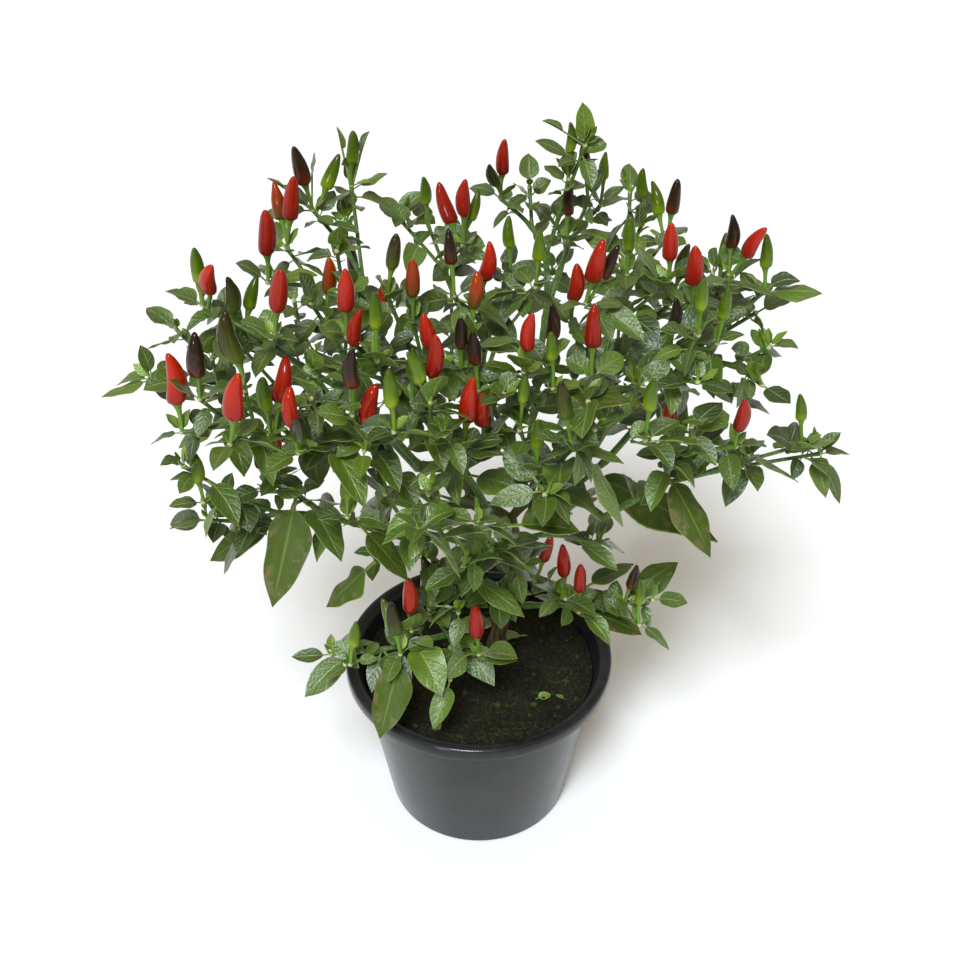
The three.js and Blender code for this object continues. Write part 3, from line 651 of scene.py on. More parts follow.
LIP = [
    (RIM_RADIUS - 2.4, LIP_FOOT + 5), (RIM_RADIUS - 2, LIP_FOOT), (RIM_RADIUS - 0.3, LIP_FOOT),
    (RIM_RADIUS, LIP_FOOT + 0.6), (RIM_RADIUS, POT_HEIGHT - 3),
    (RIM_RADIUS - 0.4, POT_HEIGHT - 1.6), (RIM_RADIUS - 1.4, POT_HEIGHT - 0.6),
    (RIM_RADIUS - 2.7, POT_HEIGHT - 0.1),
    (RIM_RADIUS - 4, POT_HEIGHT), (RIM_RADIUS - 6, POT_HEIGHT - 0.3),
    (RIM_RADIUS - 7.5, POT_HEIGHT - 1), (RIM_RADIUS - 9.3, POT_HEIGHT - 2.6),
    (RIM_RADIUS - 10.5, POT_HEIGHT - 5),
]
INNER_WALL = [
    (NECK_RADIUS - WALL, LIP_FOOT), (STEP_RADIUS - 1.8 - WALL, STEP_HEIGHT),
    (FLOOR_EDGE + 2.8, WALL + 2.3), (FLOOR_EDGE, WALL),
]


def turned(name, outline, turns=TURNS):
    """A solid of revolution about Z, from an outline that starts and ends on the axis."""
    mesh = bpy.data.meshes.new(name)
    corners = [(radius * MM, 0, height * MM) for radius, height in outline]
    mesh.from_pydata(corners, [(i, i + 1) for i in range(len(corners) - 1)], [])
    piece = bpy.data.objects.new(name, mesh)
    scene.collection.objects.link(piece)
    pick(piece)
    bpy.ops.object.mode_set(mode="EDIT")
    bpy.ops.mesh.select_all(action="SELECT")
    bpy.ops.mesh.spin(steps=turns, angle=2 * math.pi, center=(0, 0, 0), axis=(0, 0, 1))
    bpy.ops.mesh.select_all(action="SELECT")
    bpy.ops.mesh.remove_doubles(threshold=0.02 * MM)
    bpy.ops.mesh.normals_make_consistent(inside=False)
    bpy.ops.object.mode_set(mode="OBJECT")
    return piece


pot = turned("nursery_pot", [(0, 0), *OUTER_WALL, *LIP, *INNER_WALL, (0, WALL)])
print("pot", len(pot.data.polygons), "faces")

# %% Drain holes
DRAIN_COUNT = 6
DRAIN_RADIUS = 5
DRAIN_RING_RADIUS = 46
DRAIN_SIDES = 24
CREASE = 32
drills = []
for i in range(DRAIN_COUNT):
    turn = 2 * math.pi * i / DRAIN_COUNT
    centre = [DRAIN_RING_RADIUS * MM * math.cos(turn), DRAIN_RING_RADIUS * MM * math.sin(turn), 0]
    bpy.ops.mesh.primitive_cylinder_add(
        vertices=DRAIN_SIDES, radius=DRAIN_RADIUS * MM, depth=4 * WALL * MM, location=centre)
    drills.append(bpy.context.object)
drill = join("drill", drills)
bpy.ops.object.transform_apply(location=True, rotation=True, scale=True)
cut = pot.modifiers.new("drain holes", "BOOLEAN")
cut.operation = "DIFFERENCE"
cut.object = drill
cut.solver = "EXACT"
pick(pot)
bpy.ops.object.modifier_apply(modifier=cut.name)
bpy.data.objects.remove(drill)
smooth_faces(pot, CREASE)
print(DRAIN_COUNT, "drain holes")

# %% [markdown]
# The plastic is dark grey with a soft sheen. The hot plastic flowed up the wall of the mould,
# which leaves faint upright streaks, and watering leaves a thin dusty film in broad patches. The
# sheen is what tells the eye that it is plastic, so its roughness changes most.

# %% Moulded polypropylene
FILM_SIZE = 40
STREAK_WIDTH = 7
STREAK_DRAW = 0.06
PIT_SIZE = 1.5
PLASTIC = {
    "Roughness": 0.3, "IOR": 1.5, "Specular IOR Level": 0.1, "Coat Weight": 0.42,
    "Coat Roughness": 0.12, "Coat IOR": 1.5,
}
plastic, nodes = finish("moulded_polypropylene", PLASTIC)
place = nodes.place()
streaks = nodes.noise(nodes.stretched(place, STREAK_DRAW), STREAK_WIDTH, 3.0)
film = nodes.noise(place, FILM_SIZE, 5.0)
cast = nodes.maths("MULTIPLY_ADD", streaks, 0.45, film)
relief = nodes.maths("MULTIPLY_ADD", nodes.noise(place, PIT_SIZE, 2.0), 0.12, streaks)
nodes.wire({
    "Base Color": nodes.ramp(cast, (0.45, "#151617"), (0.95, "#2A2C2D")),
    "Roughness": nodes.span(cast, 0.4, 1.0, (0.24, 0.42)),
    "Normal": nodes.bump(relief, 0.5, 0.25),
})
pot.data.materials.append(plastic)
carry(pot, "pot", "pot")

# %% [markdown]
# ## Trunk and limbs
# The oldest wood is a single stem, corky and brown at the foot, that forks at the crown. The
# limbs run from there to the boughs, and four low shoots leave it on their own.

# %% Woody tubes
STUB_RADII = (2.6, 2.4)
ROOT_FLARE = 0.35
FLARE_HEIGHT = 122
FLARE_REACH = 7
trunk_path = smooth_path([Vector(point) for point in TRUNK_PATH], TRUNK_RADII, [CROWN])
for i, (place, radius) in enumerate(trunk_path):
    flare = 1 + ROOT_FLARE * math.exp(-(((place.z - FLARE_HEIGHT) / FLARE_REACH) ** 2))
    trunk_path[i] = (place, radius * flare)
stubs = [
    smooth_path([bough.start, bough.hub], STUB_RADII, [bough.start])
    for bough in boughs if bough.name in SHOOTS]
wood = tubes("trunk_wood", [trunk_path], TRUNK_SIDES)
branches = tubes("limb_wood", [stem_path(limb) for limb in limbs] + stubs, LIMB_SIDES)
wood = join("trunk_and_limbs", [wood, branches])
smooth_faces(wood, STEM_CREASE)
print(len(limbs), "limbs and", len(stubs), "shoots on the trunk")

# %% [markdown]
# Young pepper bark is thin: grey-brown cork that has split along the stem, with green showing
# in the splits, greener towards the crown. The splits run lengthwise, so the pattern is
# stretched along Z, the way the trunk grows.

# %% Corky bark
CORK_SPLIT = 2.2
SPLIT_DRAW = 0.16
GREEN_FROM = 0.17
GREEN_TO = 0.33
bark, nodes = finish("corky_pepper_bark", {"Roughness": 0.75, "IOR": 1.45})
place = nodes.place()
splits = nodes.noise(nodes.stretched(place, SPLIT_DRAW), CORK_SPLIT, 4.0, Roughness=0.6)
cork = nodes.ramp(splits, (0.36, "#3B3A1E"), (0.66, "#7A6A48"))
height = nodes.add("ShaderNodeSeparateXYZ", {"Vector": place}).outputs["Z"]
nodes.wire({
    "Base Color": nodes.blend(nodes.span(height, GREEN_FROM, GREEN_TO, (0, 0.8)), cork, "#4F6328"),
    "Normal": nodes.bump(splits, 0.8, 0.7),
})
wood.data.materials.append(bark)
carry(wood, "bark", "trunk")

# %% [markdown]
# ## Knuckles
# Where a twig ends in its rosette, and where stems fork, a pepper has a pale swollen knuckle
# with a rough star of old scars. It is a small ball pushed out into five blunt ridges. It is
# modelled once and copied to every joint.

# %% One knuckle
KNUCKLE_RADIUS = 1.75
KNUCKLE_STRETCH = 1.2
RIDGES = 5
RIDGE_DEPTH = 0.32
FORK_SIZE = 0.55
FORK_GROWTH = 0.3
bpy.ops.object.select_all(action="DESELECT")
bpy.ops.mesh.primitive_uv_sphere_add(segments=2 * RIDGES, ring_count=6, radius=KNUCKLE_RADIUS * MM)
knuckle_blank = bpy.context.object
knuckle_places = places_of(knuckle_blank)
turn = np.arctan2(knuckle_places[:, 1], knuckle_places[:, 0])
knuckle_places[:, :2] *= (1 + RIDGE_DEPTH * np.cos(RIDGES * turn))[:, None]
knuckle_places[:, 2] *= KNUCKLE_STRETCH
print("knuckle", len(knuckle_blank.data.polygons), "faces")


def frame_along(along):
    """Three columns: two directions across, and the one along."""
    along = Vector(along).normalized()
    side = along.orthogonal().normalized()
    return np.array([side, along.cross(side), along]).T


def knuckles(bough):
    """Copies of the knuckle at the sprigs and forks of a bough."""
    joints = [(sprig.point, sprig.along, 1.0) for sprig in bough.sprigs]
    for stem in bough.stems:
        for (before, _), (knot, load) in zip(stem.knots, stem.knots[1:-1]):
            joints.append((knot, knot - before, FORK_SIZE + FORK_GROWTH * stem_radius(load)))
    copies = []
    for point, along, size in joints:
        piece = copy_of(knuckle_blank, "knuckle")
        set_places(piece, size * knuckle_places @ frame_along(along).T + np.array(point) * MM)
        copies.append(piece)
    return copies


# %% [markdown]
# ## Leaves
# A chilli leaf is ovate with a drawn-out tip, on a short channelled stalk. The blade folds a
# little along its midrib, arches down towards the tip, and puckers between its side veins.
# A flat grid in the leaf's outline is the blank: it is cheap, it carries a neat UV map for the
# veins, and it can be bent afterwards into hundreds of different leaves.

# %% Blank leaves
LEAF_LENGTH = 40
LEAF_WIDTH = 18
LEAF_THICKNESS = 0.45
STALK_SHARE = 0.2
STALK_HALF = 0.7
UNDERSIDE_FROM = -0.5
MIDRIB_HALF = 1.2
BLADE = {
    0: 0, 0.03: 0.3, 0.08: 0.59, 0.15: 0.82, 0.24: 0.95, 0.34: 1, 0.44: 0.99, 0.54: 0.94,
    0.64: 0.85, 0.73: 0.71, 0.81: 0.54, 0.88: 0.35, 0.93: 0.19, 0.97: 0.08, 1: 0,
}
STATIONS = (0, 0.2, 0.224, 0.27, 0.35, 0.46, 0.58, 0.7, 0.8, 0.88, 0.95, 1)
KEEL = 0.7
LEAF_CREASE = 80


def half_width(share):
    """The leaf's half width in mm, at a share of its whole length with its stalk."""
    blade = np.clip((share - STALK_SHARE) / (1 - STALK_SHARE), 0, 1)
    wide = LEAF_WIDTH / 2 * np.interp(blade, list(BLADE), list(BLADE.values()))
    stalk = np.where(share < 0.9, STALK_HALF, 0)
    return np.maximum(wide, stalk)


def leaf_blank(name, columns, rows):
    """A flat leaf of real thickness, its stalk end at the origin and its tip on +X."""
    bpy.ops.object.select_all(action="DESELECT")
    bpy.ops.mesh.primitive_grid_add(x_subdivisions=columns, y_subdivisions=rows, size=1)
    blank = bpy.context.object
    blank.name = name
    places = places_of(blank)
    share = np.interp(places[:, 0] + 0.5, np.linspace(0, 1, len(STATIONS)), STATIONS)
    places[:, 0] = share * LEAF_LENGTH * MM
    places[:, 1] *= 2 * half_width(share) * MM
    set_places(blank, places)
    bpy.ops.object.mode_set(mode="EDIT")
    bpy.ops.mesh.select_all(action="SELECT")
    bpy.ops.mesh.remove_doubles(threshold=0.01 * MM)
    bpy.ops.object.mode_set(mode="OBJECT")
    blank.data.materials.append(bpy.data.materials["leaf_cuticle"])
    blank.data.materials.append(bpy.data.materials["leaf_underside"])
    thicken = blank.modifiers.new("thickness", "SOLIDIFY")
    thicken.thickness = LEAF_THICKNESS * MM
    thicken.offset = -1
    thicken.material_offset = 1
    thicken.material_offset_rim = 1
    pick(blank)
    bpy.ops.object.modifier_apply(modifier=thicken.name)
    places = places_of(blank)
    share = places[:, 0] / (LEAF_LENGTH * MM)
    close = np.clip(1 - np.abs(places[:, 1]) / (MIDRIB_HALF * MM), 0, 1)
    below = places[:, 2] < UNDERSIDE_FROM * LEAF_THICKNESS * MM
    places[:, 2] -= np.where(below, KEEL * MM * close * (1 - share), 0)
    set_places(blank, places)
    smooth_faces(blank, LEAF_CREASE)
    print(name, len(blank.data.polygons), "faces")
    return blank


# %% [markdown]
# The upper face has a waxy cuticle: a dark green that looks blue-grey where it mirrors the
# light, with pale sunken veins and quilted bulges between them. The underside is matt and
# lighter, and its veins stand out. Young leaves are yellow-green. The oldest have lost their
# shine, and have dry tan patches towards the tip. The veins follow the blade, so they are
# drawn in its UV map: u runs from the stalk to the tip, and v across.

# %% Pattern of the veins
VEINS = 7.5
VEIN_SWEEP = 1.7
STALK_BLUR = 0.06
MIDRIB_EDGE = (0.02, 0.1)
SIDE_VEIN_EDGE = (0.02, 0.11)
SIDE_VEIN_END = (0.45, 0.95)
# The pale band along the edge is partly the blade's own paler edge and partly a painted rim
# highlight.
MARGIN_AND_RIM_HIGHLIGHT = (0.93, 0.99)


def fade(nodes, value, low, high):
    """From 0 at low to 1 at high, smoothly."""
    return nodes.span(value, low, high, interpolation_type="SMOOTHSTEP")


def vein_pattern(nodes):
    """The share along the blade and across it, the wave between side veins, and the veins."""
    maths = nodes.maths
    unrolled = nodes.add("ShaderNodeUVMap").outputs["UV"]
    flat = nodes.add("ShaderNodeSeparateXYZ", {"Vector": unrolled})
    along = flat.outputs["X"]
    across = maths("MULTIPLY", maths("ABSOLUTE", maths("SUBTRACT", flat.outputs["Y"], 0.5)), 2.0)
    sweep = maths("MULTIPLY", maths("POWER", across, 0.8), VEIN_SWEEP)
    wave = maths("PINGPONG", maths("SUBTRACT", maths("MULTIPLY", along, VEINS), sweep), 0.5)
    side_vein = maths("SUBTRACT", 1.0, fade(nodes, wave, *SIDE_VEIN_EDGE))
    fading = maths("SUBTRACT", 1.0, fade(nodes, across, *SIDE_VEIN_END))
    side_vein = maths("MULTIPLY", side_vein, fading)
    midrib = maths("SUBTRACT", 1.0, fade(nodes, across, *MIDRIB_EDGE))
    blade = fade(nodes, along, STALK_SHARE - STALK_BLUR, STALK_SHARE + 0.02)
    return along, across, wave, side_vein, maths("MAXIMUM", midrib, maths("SUBTRACT", 1.0, blade))


# %% Leaf colours
MOTTLE_SIZE = 9
SPOT_SIZE = 7
PUCKER_SIZE = 1.8
PUCKER_DEPTH = 0.65
SIDE_VEIN_TINT = 0.12
RIB_TINT = 0.55
EDGE_AND_HIGHLIGHT_TINT = 0.35
QUILTING = 0.12
TONE_SHARE = 0.6
MOTTLE_SHARE = 0.5
TONES = (0.15, 0.85)
DRY_SPOTS = (0.48, 0.62)
DRY_TIP = (0.75, 1.3)
PALETTE = ("dark", "light", "young", "vein", "dry")
UPPER = dict(zip(PALETTE, ("#263A08", "#4D660F", "#7C9C1C", "#93A24E", "#97835A")))
OLD = dict(zip(PALETTE, ("#1E2E0A", "#3A4A10", "#7C9C1C", "#6E8038", "#7A6848")))
UNDER = dict(zip(PALETTE, ("#4A6221", "#627C2D", "#88A42C", "#9BAA60", "#9A8A60")))


def leaf_material(name, palette, values, vein_height):
    """A blade: two greens that drift, veins and a pale edge with a painted rim highlight over them,
    and dry spots on top.
    """
    material, nodes = finish(name, values)
    maths, blend = nodes.maths, nodes.blend
    along, across, wave, side_vein, rib = vein_pattern(nodes)
    place = nodes.place()
    mottle = maths("MULTIPLY", nodes.noise(place, MOTTLE_SIZE, 4.0), MOTTLE_SHARE)
    tone = maths("ADD", maths("MULTIPLY", nodes.attribute("tone"), TONE_SHARE), mottle)
    green = blend(fade(nodes, tone, *TONES), palette["dark"], palette["light"])
    green = blend(nodes.attribute("youth"), green, palette["young"])
    green = blend(maths("MULTIPLY", side_vein, SIDE_VEIN_TINT), green, palette["vein"])
    green = blend(maths("MULTIPLY", rib, RIB_TINT), green, palette["vein"])
    # Pale edge band: partly the blade's own edge colour, partly a painted rim highlight.
    edge_and_highlight = maths("MULTIPLY", fade(nodes, across, *MARGIN_AND_RIM_HIGHLIGHT), EDGE_AND_HIGHLIGHT_TINT)
    green = blend(edge_and_highlight, green, palette["vein"])
    spots = fade(nodes, nodes.noise(place, SPOT_SIZE, 5.0), *DRY_SPOTS)
    dry = maths("MULTIPLY", nodes.attribute("dryness"), spots)
    dry = maths("MULTIPLY", dry, fade(nodes, maths("ADD", along, across), *DRY_TIP))
    quilt = maths("MULTIPLY", maths("SINE", maths("MULTIPLY", wave, math.pi)), QUILTING)
    relief = maths("ADD", quilt, nodes.noise(place, PUCKER_SIZE, 3.0))
    veins = maths("MULTIPLY", maths("MAXIMUM", side_vein, rib), vein_height)
    relief = maths("SUBTRACT", relief, veins)
    normal = nodes.bump(relief, 1.0, PUCKER_DEPTH)
    nodes.wire({
        "Base Color": blend(dry, green, palette["dry"]),
        "Roughness": nodes.span(nodes.attribute("dryness"), to=(values["Roughness"], DULL)),
        "Normal": normal, "Coat Normal": normal,
    })
    return material


# %% Leaf finishes
DULL = 0.65
VEINS_SUNKEN = 0.35
VEINS_RAISED = -0.7
CUTICLE = {
    "Roughness": 0.5, "IOR": 1.5, "Specular IOR Level": 0.7, "Specular Tint": (0.86, 0.97, 1, 1),
    "Coat Weight": 1.0, "Coat Roughness": 0.33, "Coat IOR": 1.5,
}
WORN = {
    "Roughness": 0.52, "IOR": 1.45, "Specular IOR Level": 0.35,
    "Specular Tint": (0.9, 1, 0.95, 1),
}
MATT = {"Roughness": 0.62, "IOR": 1.42, "Specular IOR Level": 0.35}
leaf_material("leaf_cuticle", UPPER, CUTICLE, VEINS_SUNKEN)
old_blade = leaf_material("old_leaf_blade", OLD, WORN, VEINS_SUNKEN)
leaf_material("leaf_underside", UNDER, MATT, VEINS_RAISED)
small_blank = leaf_blank("small_leaf", len(STATIONS) - 1, 4)
large_blank = leaf_blank("large_leaf", 2 * len(STATIONS) - 2, 8)


# %% [markdown]
# ### Bending a leaf
# A leaf leaves its stem at an angle, and droops further the longer it is. Its place on that
# arched line, and the two directions square to the line, carry every point of the blank over.
# The fold, the twist and the waved margin are added on the way, each from its own draw.


# %% One leaf
FOLD = (0.05, 0.45)
WAVE = (0.02, 0.07)
LARGE_WAVE = 1.3
WAVES = 2.2
TWIST = (-0.5, 0.5)
CURL = (-0.15, 0.25)
HOOK = (-0.18, 0.18)
FULL_TURN = 6.28


@dataclass
class Leaf:
    """Where a leaf leaves its stem, how it is turned, and its size in mm."""

    base: Vector
    heading: float
    rise: float
    droop: float
    roll: float
    length: float
    width: float
    seed: tuple
    youth: float = 0.0
    dryness: float = 0.0
    stalk: float = STALK_SHARE
    large: bool = False
    kept: bool = False


def bend(flat, leaf):
    """Carries places on the blank, in metres, onto the leaf's own arched line."""
    share, across, out = (flat / (LEAF_LENGTH * MM, LEAF_WIDTH * MM, LEAF_LENGTH * MM)).T
    edge = np.abs(across) * 2
    fold = between(*FOLD, *leaf.seed, 21)
    wave = between(*WAVE, *leaf.seed, 22) * (LARGE_WAVE if leaf.large else 1)
    phase = between(0, FULL_TURN, *leaf.seed, 23)
    twist = between(*TWIST, *leaf.seed, 24)
    curl = between(*CURL, *leaf.seed, 25)
    hook = between(*HOOK, *leaf.seed, 26)
    waves = np.sin(2 * np.pi * WAVES * share + phase + np.where(across > 0, 1.7, 0))
    lift = fold * np.abs(across) * leaf.width - curl * edge**2 * leaf.width / 2
    lift = lift + wave * leaf.width * edge**2 * waves
    share = np.interp(share, [0, STALK_SHARE, 1], [0, leaf.stalk, 1])
    reach = share * leaf.length
    heading = np.array([math.cos(leaf.heading), math.sin(leaf.heading), 0])
    up = np.array([0, 0, 1])
    rise = math.sin(leaf.rise) - 2 * leaf.droop * share
    line = reach[:, None] * math.cos(leaf.rise) * heading
    line = line + (reach * math.sin(leaf.rise) - leaf.droop * reach**2 / leaf.length)[:, None] * up
    tangent = math.cos(leaf.rise) * heading + rise[:, None] * up
    tangent /= np.linalg.norm(tangent, axis=1)[:, None]
    level = np.cross(up, heading)
    normal = np.cross(tangent, level)
    turn = (leaf.roll + twist * share)[:, None]
    side = level * np.cos(turn) + normal * np.sin(turn)
    normal = normal * np.cos(turn) - level * np.sin(turn)
    sway = across * leaf.width + hook * leaf.length * share**2 * (share > 0)
    out = out * leaf.length + lift
    return (np.array(leaf.base) + line + sway[:, None] * side + out[:, None] * normal) * MM


# %% [markdown]
# ### Where the leaves grow
# Every twig ends in a rosette: one leaf carries on the twig, and the others stand round it at
# the golden angle, which is how a pepper spaces them. Mature leaves grow at the forks and along
# the stems. Each kind has its own habit, the ranges that it is drawn from. The few largest are
# listed one by one, because they give the plant its outline.


# %% Habits of the leaves
@dataclass
class Habit:
    """The ranges of one kind of leaf: its length in mm, and its turns in radians."""

    length: tuple
    rise: tuple
    droop: tuple
    roll: tuple = (0, 0)
    broad: tuple = (0.42, 0.56)


HABITS = {
    "end": Habit((21, 33), (0, 0), (0.1, 0.45)),
    "first": Habit((18, 31), (0.0, 0.8), (0.15, 0.5), (-0.4, 0.4)),
    "other": Habit((18, 31), (-0.35, 1.25), (0.15, 0.5), (-0.9, 0.9)),
    "young": Habit((9, 19), (0.5, 1.2), (0.1, 0.1), (-0.4, 0.4), (0.42, 0.42)),
    "fork": Habit((34, 52), (0.0, 0.6), (0.3, 0.6), (-0.4, 0.4)),
    "stem": Habit((22, 38), (-0.3, 0.9), (0.2, 0.5), (-0.9, 0.9)),
}


def leaf_like(kind, place, heading, seed, k, shrink=1, **more):
    """A leaf of this kind, on its own draw."""
    habit = HABITS[kind]
    length = between(*habit.length, seed, k, 1) * shrink
    width = length * between(*habit.broad, seed, k, 7)
    rise, droop, roll = (
        between(*turn, seed, k, use)
        for use, turn in ((3, habit.rise), (4, habit.droop), (5, habit.roll)))
    return Leaf(place, heading, rise, droop, roll, length, width, (seed, k), **more)


def bearing(along):
    return math.atan2(along.y, along.x)


print(len(HABITS), "kinds of leaf")

# %% Leaves at the tips and along the stems
GOLDEN_ANGLE = math.radians(137.5)
NODE_STEP = 2.8
ROSETTE_WANDER = 0.35
YOUNGER = 0.1
FORK_ANGLE = (0.6, 1.5)


def end_leaf(sprig):
    """The first leaf of a sprig carries on the twig itself, at the twig's own rise."""
    leaf = leaf_like("end", sprig.point, bearing(sprig.along), sprig.order, 0, kept=True)
    return replace(leaf, rise=math.asin(sprig.along.z))


def sprig_leaf(sprig, k):
    """The other leaves round a sprig, in a golden-angle rosette. The inner ones are smaller."""
    wander = between(-ROSETTE_WANDER, ROSETTE_WANDER, sprig.order, k, 2)
    return leaf_like(
        "first" if k == 1 else "other", sprig.point - sprig.along * NODE_STEP * (k + 0.4),
        bearing(sprig.along) + k * GOLDEN_ANGLE + wander, sprig.order, k,
        1 - YOUNGER * max(k - 2, 0), kept=k == 1)


def young_leaf(sprig, k):
    """A leaf that is still opening, small and bright, close to the tip."""
    heading = between(0, FULL_TURN, sprig.order, k, 2)
    youth = between(0.4, 1, sprig.order, k, 8)
    return leaf_like("young", sprig.point, heading, sprig.order, k, youth=youth)


def fork_leaf(before, knot, seed, k):
    """A mature leaf where a stem forks, out to one side of it."""
    aside = (1 if k % 2 else -1) * between(*FORK_ANGLE, seed, k, 2)
    return leaf_like("fork", knot, bearing(knot - before) + aside, seed, k, large=True)


def stem_leaf(place, along, seed, k):
    """A leaf along a stem, on the next turn of the golden angle."""
    return leaf_like("stem", place, bearing(along) + k * GOLDEN_ANGLE, seed, k)


# %% Leaves placed one by one
OLD_WIDTH = 20
OLD_YOUTH = 0.1
DRYNESS = (0.4, 1)
PLACED_DROOP = (0.1, 0.22)
PLACED_ROLL = (-0.25, 0.25)
PETIOLE = 0.85
SHORTEST_PETIOLE = 0.15


def placed_leaf(start, tip, width, stems, seed):
    """A large listed leaf, from the nearest place on its bough's stems to its tip."""
    wanted, tip = Vector(start), Vector(tip)
    nearest = []
    for stem in stems:
        for (near, _), (far, _) in zip(stem.knots, stem.knots[1:]):
            place, share = intersect_point_line(wanted, near, far)
            nearest.append(near.lerp(far, min(1, max(0, share))))
    base = min(nearest, key=lambda place: (place - wanted).length)
    reach = tip - base
    droop = between(*PLACED_DROOP, seed, 0, 4)
    old = width > OLD_WIDTH
    rise = math.asin(min(0.99, reach.z / reach.length + droop))
    return Leaf(
        base, bearing(reach), rise, droop, between(*PLACED_ROLL, seed, 0, 5),
        reach.length, width, (seed, 0), youth=OLD_YOUTH * old,
        dryness=between(*DRYNESS, seed, 0, 9) * old,
        stalk=max(1 - PETIOLE * (tip - wanted).length / reach.length, SHORTEST_PETIOLE),
        large=old, kept=True)


# %% Leaves that a bough may carry
ROSETTE = 6
YOUNG_LEAVES = (31, 32)
FORK_SEED = 200
STEM_SEED = 500
LARGE_SEED = 900
LEAF_SPACING = 30
SIDE_LEAF = 0.7
BARE_BOUGHS = ("tall_left", "peak", "right_shoot")


def fork_leaves(bough):
    leaves = []
    for i, stem in enumerate(bough.stems):
        seed = bough.sprigs[0].order + FORK_SEED + i
        for k in range(1, len(stem.knots) - 1):
            leaf = fork_leaf(stem.knots[k - 1][0], stem.knots[k][0], seed, k + i)
            if k % 3 != 1:
                leaf = replace(
                    leaf, length=SIDE_LEAF * leaf.length, width=SIDE_LEAF * leaf.width, large=False)
            leaves.append(leaf)
    return leaves


def stem_leaves(bough):
    leaves = []
    for i, path in enumerate(bough.paths):
        seed = bough.sprigs[0].order + STEM_SEED + i
        walked = k = 0
        for (before, _), (place, _) in zip(path, path[1:]):
            walked += (place - before).length
            if walked > LEAF_SPACING * (k + 1):
                k += 1
                leaves.append(stem_leaf(place, place - before, seed, k))
    return leaves


def leaves_of(bough):
    """The leaves that a bough may carry, the ones that matter most first."""
    wanted = []
    for i, (start, tip, width) in enumerate(LARGE_LEAVES.get(bough.name, [])):
        wanted.append(placed_leaf(start, tip, width, bough.stems, LARGE_SEED + i))
    wanted += [end_leaf(sprig) for sprig in bough.sprigs]
    for k in range(1, ROSETTE):
        wanted += [sprig_leaf(sprig, k) for sprig in bough.sprigs]
    wanted += [young_leaf(sprig, k) for sprig in bough.sprigs for k in YOUNG_LEAVES]
    if bough.name in BARE_BOUGHS:
        return wanted
    return wanted + fork_leaves(bough) + stem_leaves(bough)


print(sum(len(leaves_of(bough)) for bough in boughs), "leaves wanted")

# %% [markdown]
# ## Pods
# An ornamental chilli holds its pods upright. A pod has a rounded, slightly pinched foot, is
# widest a third of the way up, and runs out to a blunt tip. Its stalk flares into a shallow cup
# with five ridges, the calyx. Both are drawn up from a disc: extrude, move and scale, ring by
# ring, which is how one would do it by hand and gives clean rings to bend.

# %% Drawing up a blank
POD_LENGTH = 35
POD_RADIUS = 6.4
POD_SIDES = 14
POD_RINGS = [
    (0, 0.55), (0.01, 0.74), (0.04, 0.89), (0.1, 0.98), (0.2, 1.01), (0.32, 1), (0.45, 0.96),
    (0.58, 0.88), (0.71, 0.76), (0.82, 0.62), (0.905, 0.46), (0.96, 0.3), (0.99, 0.15), (1, 0.02),
]
STALK_LENGTH = 20
CALYX_RADIUS = 3.9
STALK_RINGS = [
    (0, 1.6), (2, 1.3), (11, 1.5), (15.2, 1.9), (17.2, 2.5), (18.7, 3.2),
    (19.8, CALYX_RADIUS - 0.2), (20.6, CALYX_RADIUS), (20.7, CALYX_RADIUS - 0.3),
    (20, CALYX_RADIUS - 1),
]
CUP_FOOT = 12
CUP_HEIGHT = 8
CUP_RIDGES = 0.12
CUP_LOBES = 0.4


def drawn_up(name, rings, sides):
    """A closed solid on Z, drawn up from a disc through rings of height and radius in mm."""
    height, radius = rings[0]
    bpy.ops.object.select_all(action="DESELECT")
    bpy.ops.mesh.primitive_circle_add(vertices=sides, radius=radius * MM, fill_type="NGON")
    blank = bpy.context.object
    blank.name = name
    bpy.ops.object.mode_set(mode="EDIT")
    bpy.ops.mesh.select_all(action="SELECT")
    for above, wider in rings[1:]:
        bpy.ops.mesh.extrude_region_move(
            TRANSFORM_OT_translate={"value": (0, 0, (above - height) * MM)})
        grow = wider / radius
        bpy.ops.transform.resize(value=(grow, grow, 1), center_override=(0, 0, above * MM))
        height, radius = above, wider
    bpy.ops.mesh.select_all(action="SELECT")
    bpy.ops.mesh.normals_make_consistent(inside=False)
    bpy.ops.object.mode_set(mode="OBJECT")
    smooth_faces(blank, STEM_CREASE)
    print(name, len(blank.data.polygons), "faces")
    return blank


pod_rings = [(share * POD_LENGTH, wide * POD_RADIUS) for share, wide in POD_RINGS]
pod_blank = drawn_up("pod", pod_rings, POD_SIDES)
set_share(pod_blank, "along", places_of(pod_blank)[:, 2] / (POD_LENGTH * MM))
stalk_blank = drawn_up("stalk", STALK_RINGS, 2 * RIDGES)
places = places_of(stalk_blank)
turn = np.arctan2(places[:, 1], places[:, 0])
flare = np.clip((places[:, 2] / MM - CUP_FOOT) / CUP_HEIGHT, 0, 1)
places[:, :2] *= (1 + CUP_RIDGES * flare * np.cos(RIDGES * turn))[:, None]
places[:, 2] += CUP_LOBES * MM * (flare > 0.9) * np.cos(RIDGES * turn)
set_places(stalk_blank, places)

# %% Pod rules
POD_SCALE = {"r": 1.04, "o": 0.92, "g": 0.84, "d": 0.95, "b": 0.92}
SEAT_GAP = 0.3
ATTEMPTS = 8
TIP_CORNERS = 5
UPRIGHT = (2, 12)
LEANING = (18, 30)
TURN_STEP = math.pi / 3
TILT_STEP = 3
SIZE_SPREAD = (0.92, 1.08)
STALK_SPREAD = (0.85, 1.15)
BALL_SHARES = (0.1, 0.35, 0.62, 0.88)
BALL_RADII = np.array([0.85, 1, 0.8, 0.42])


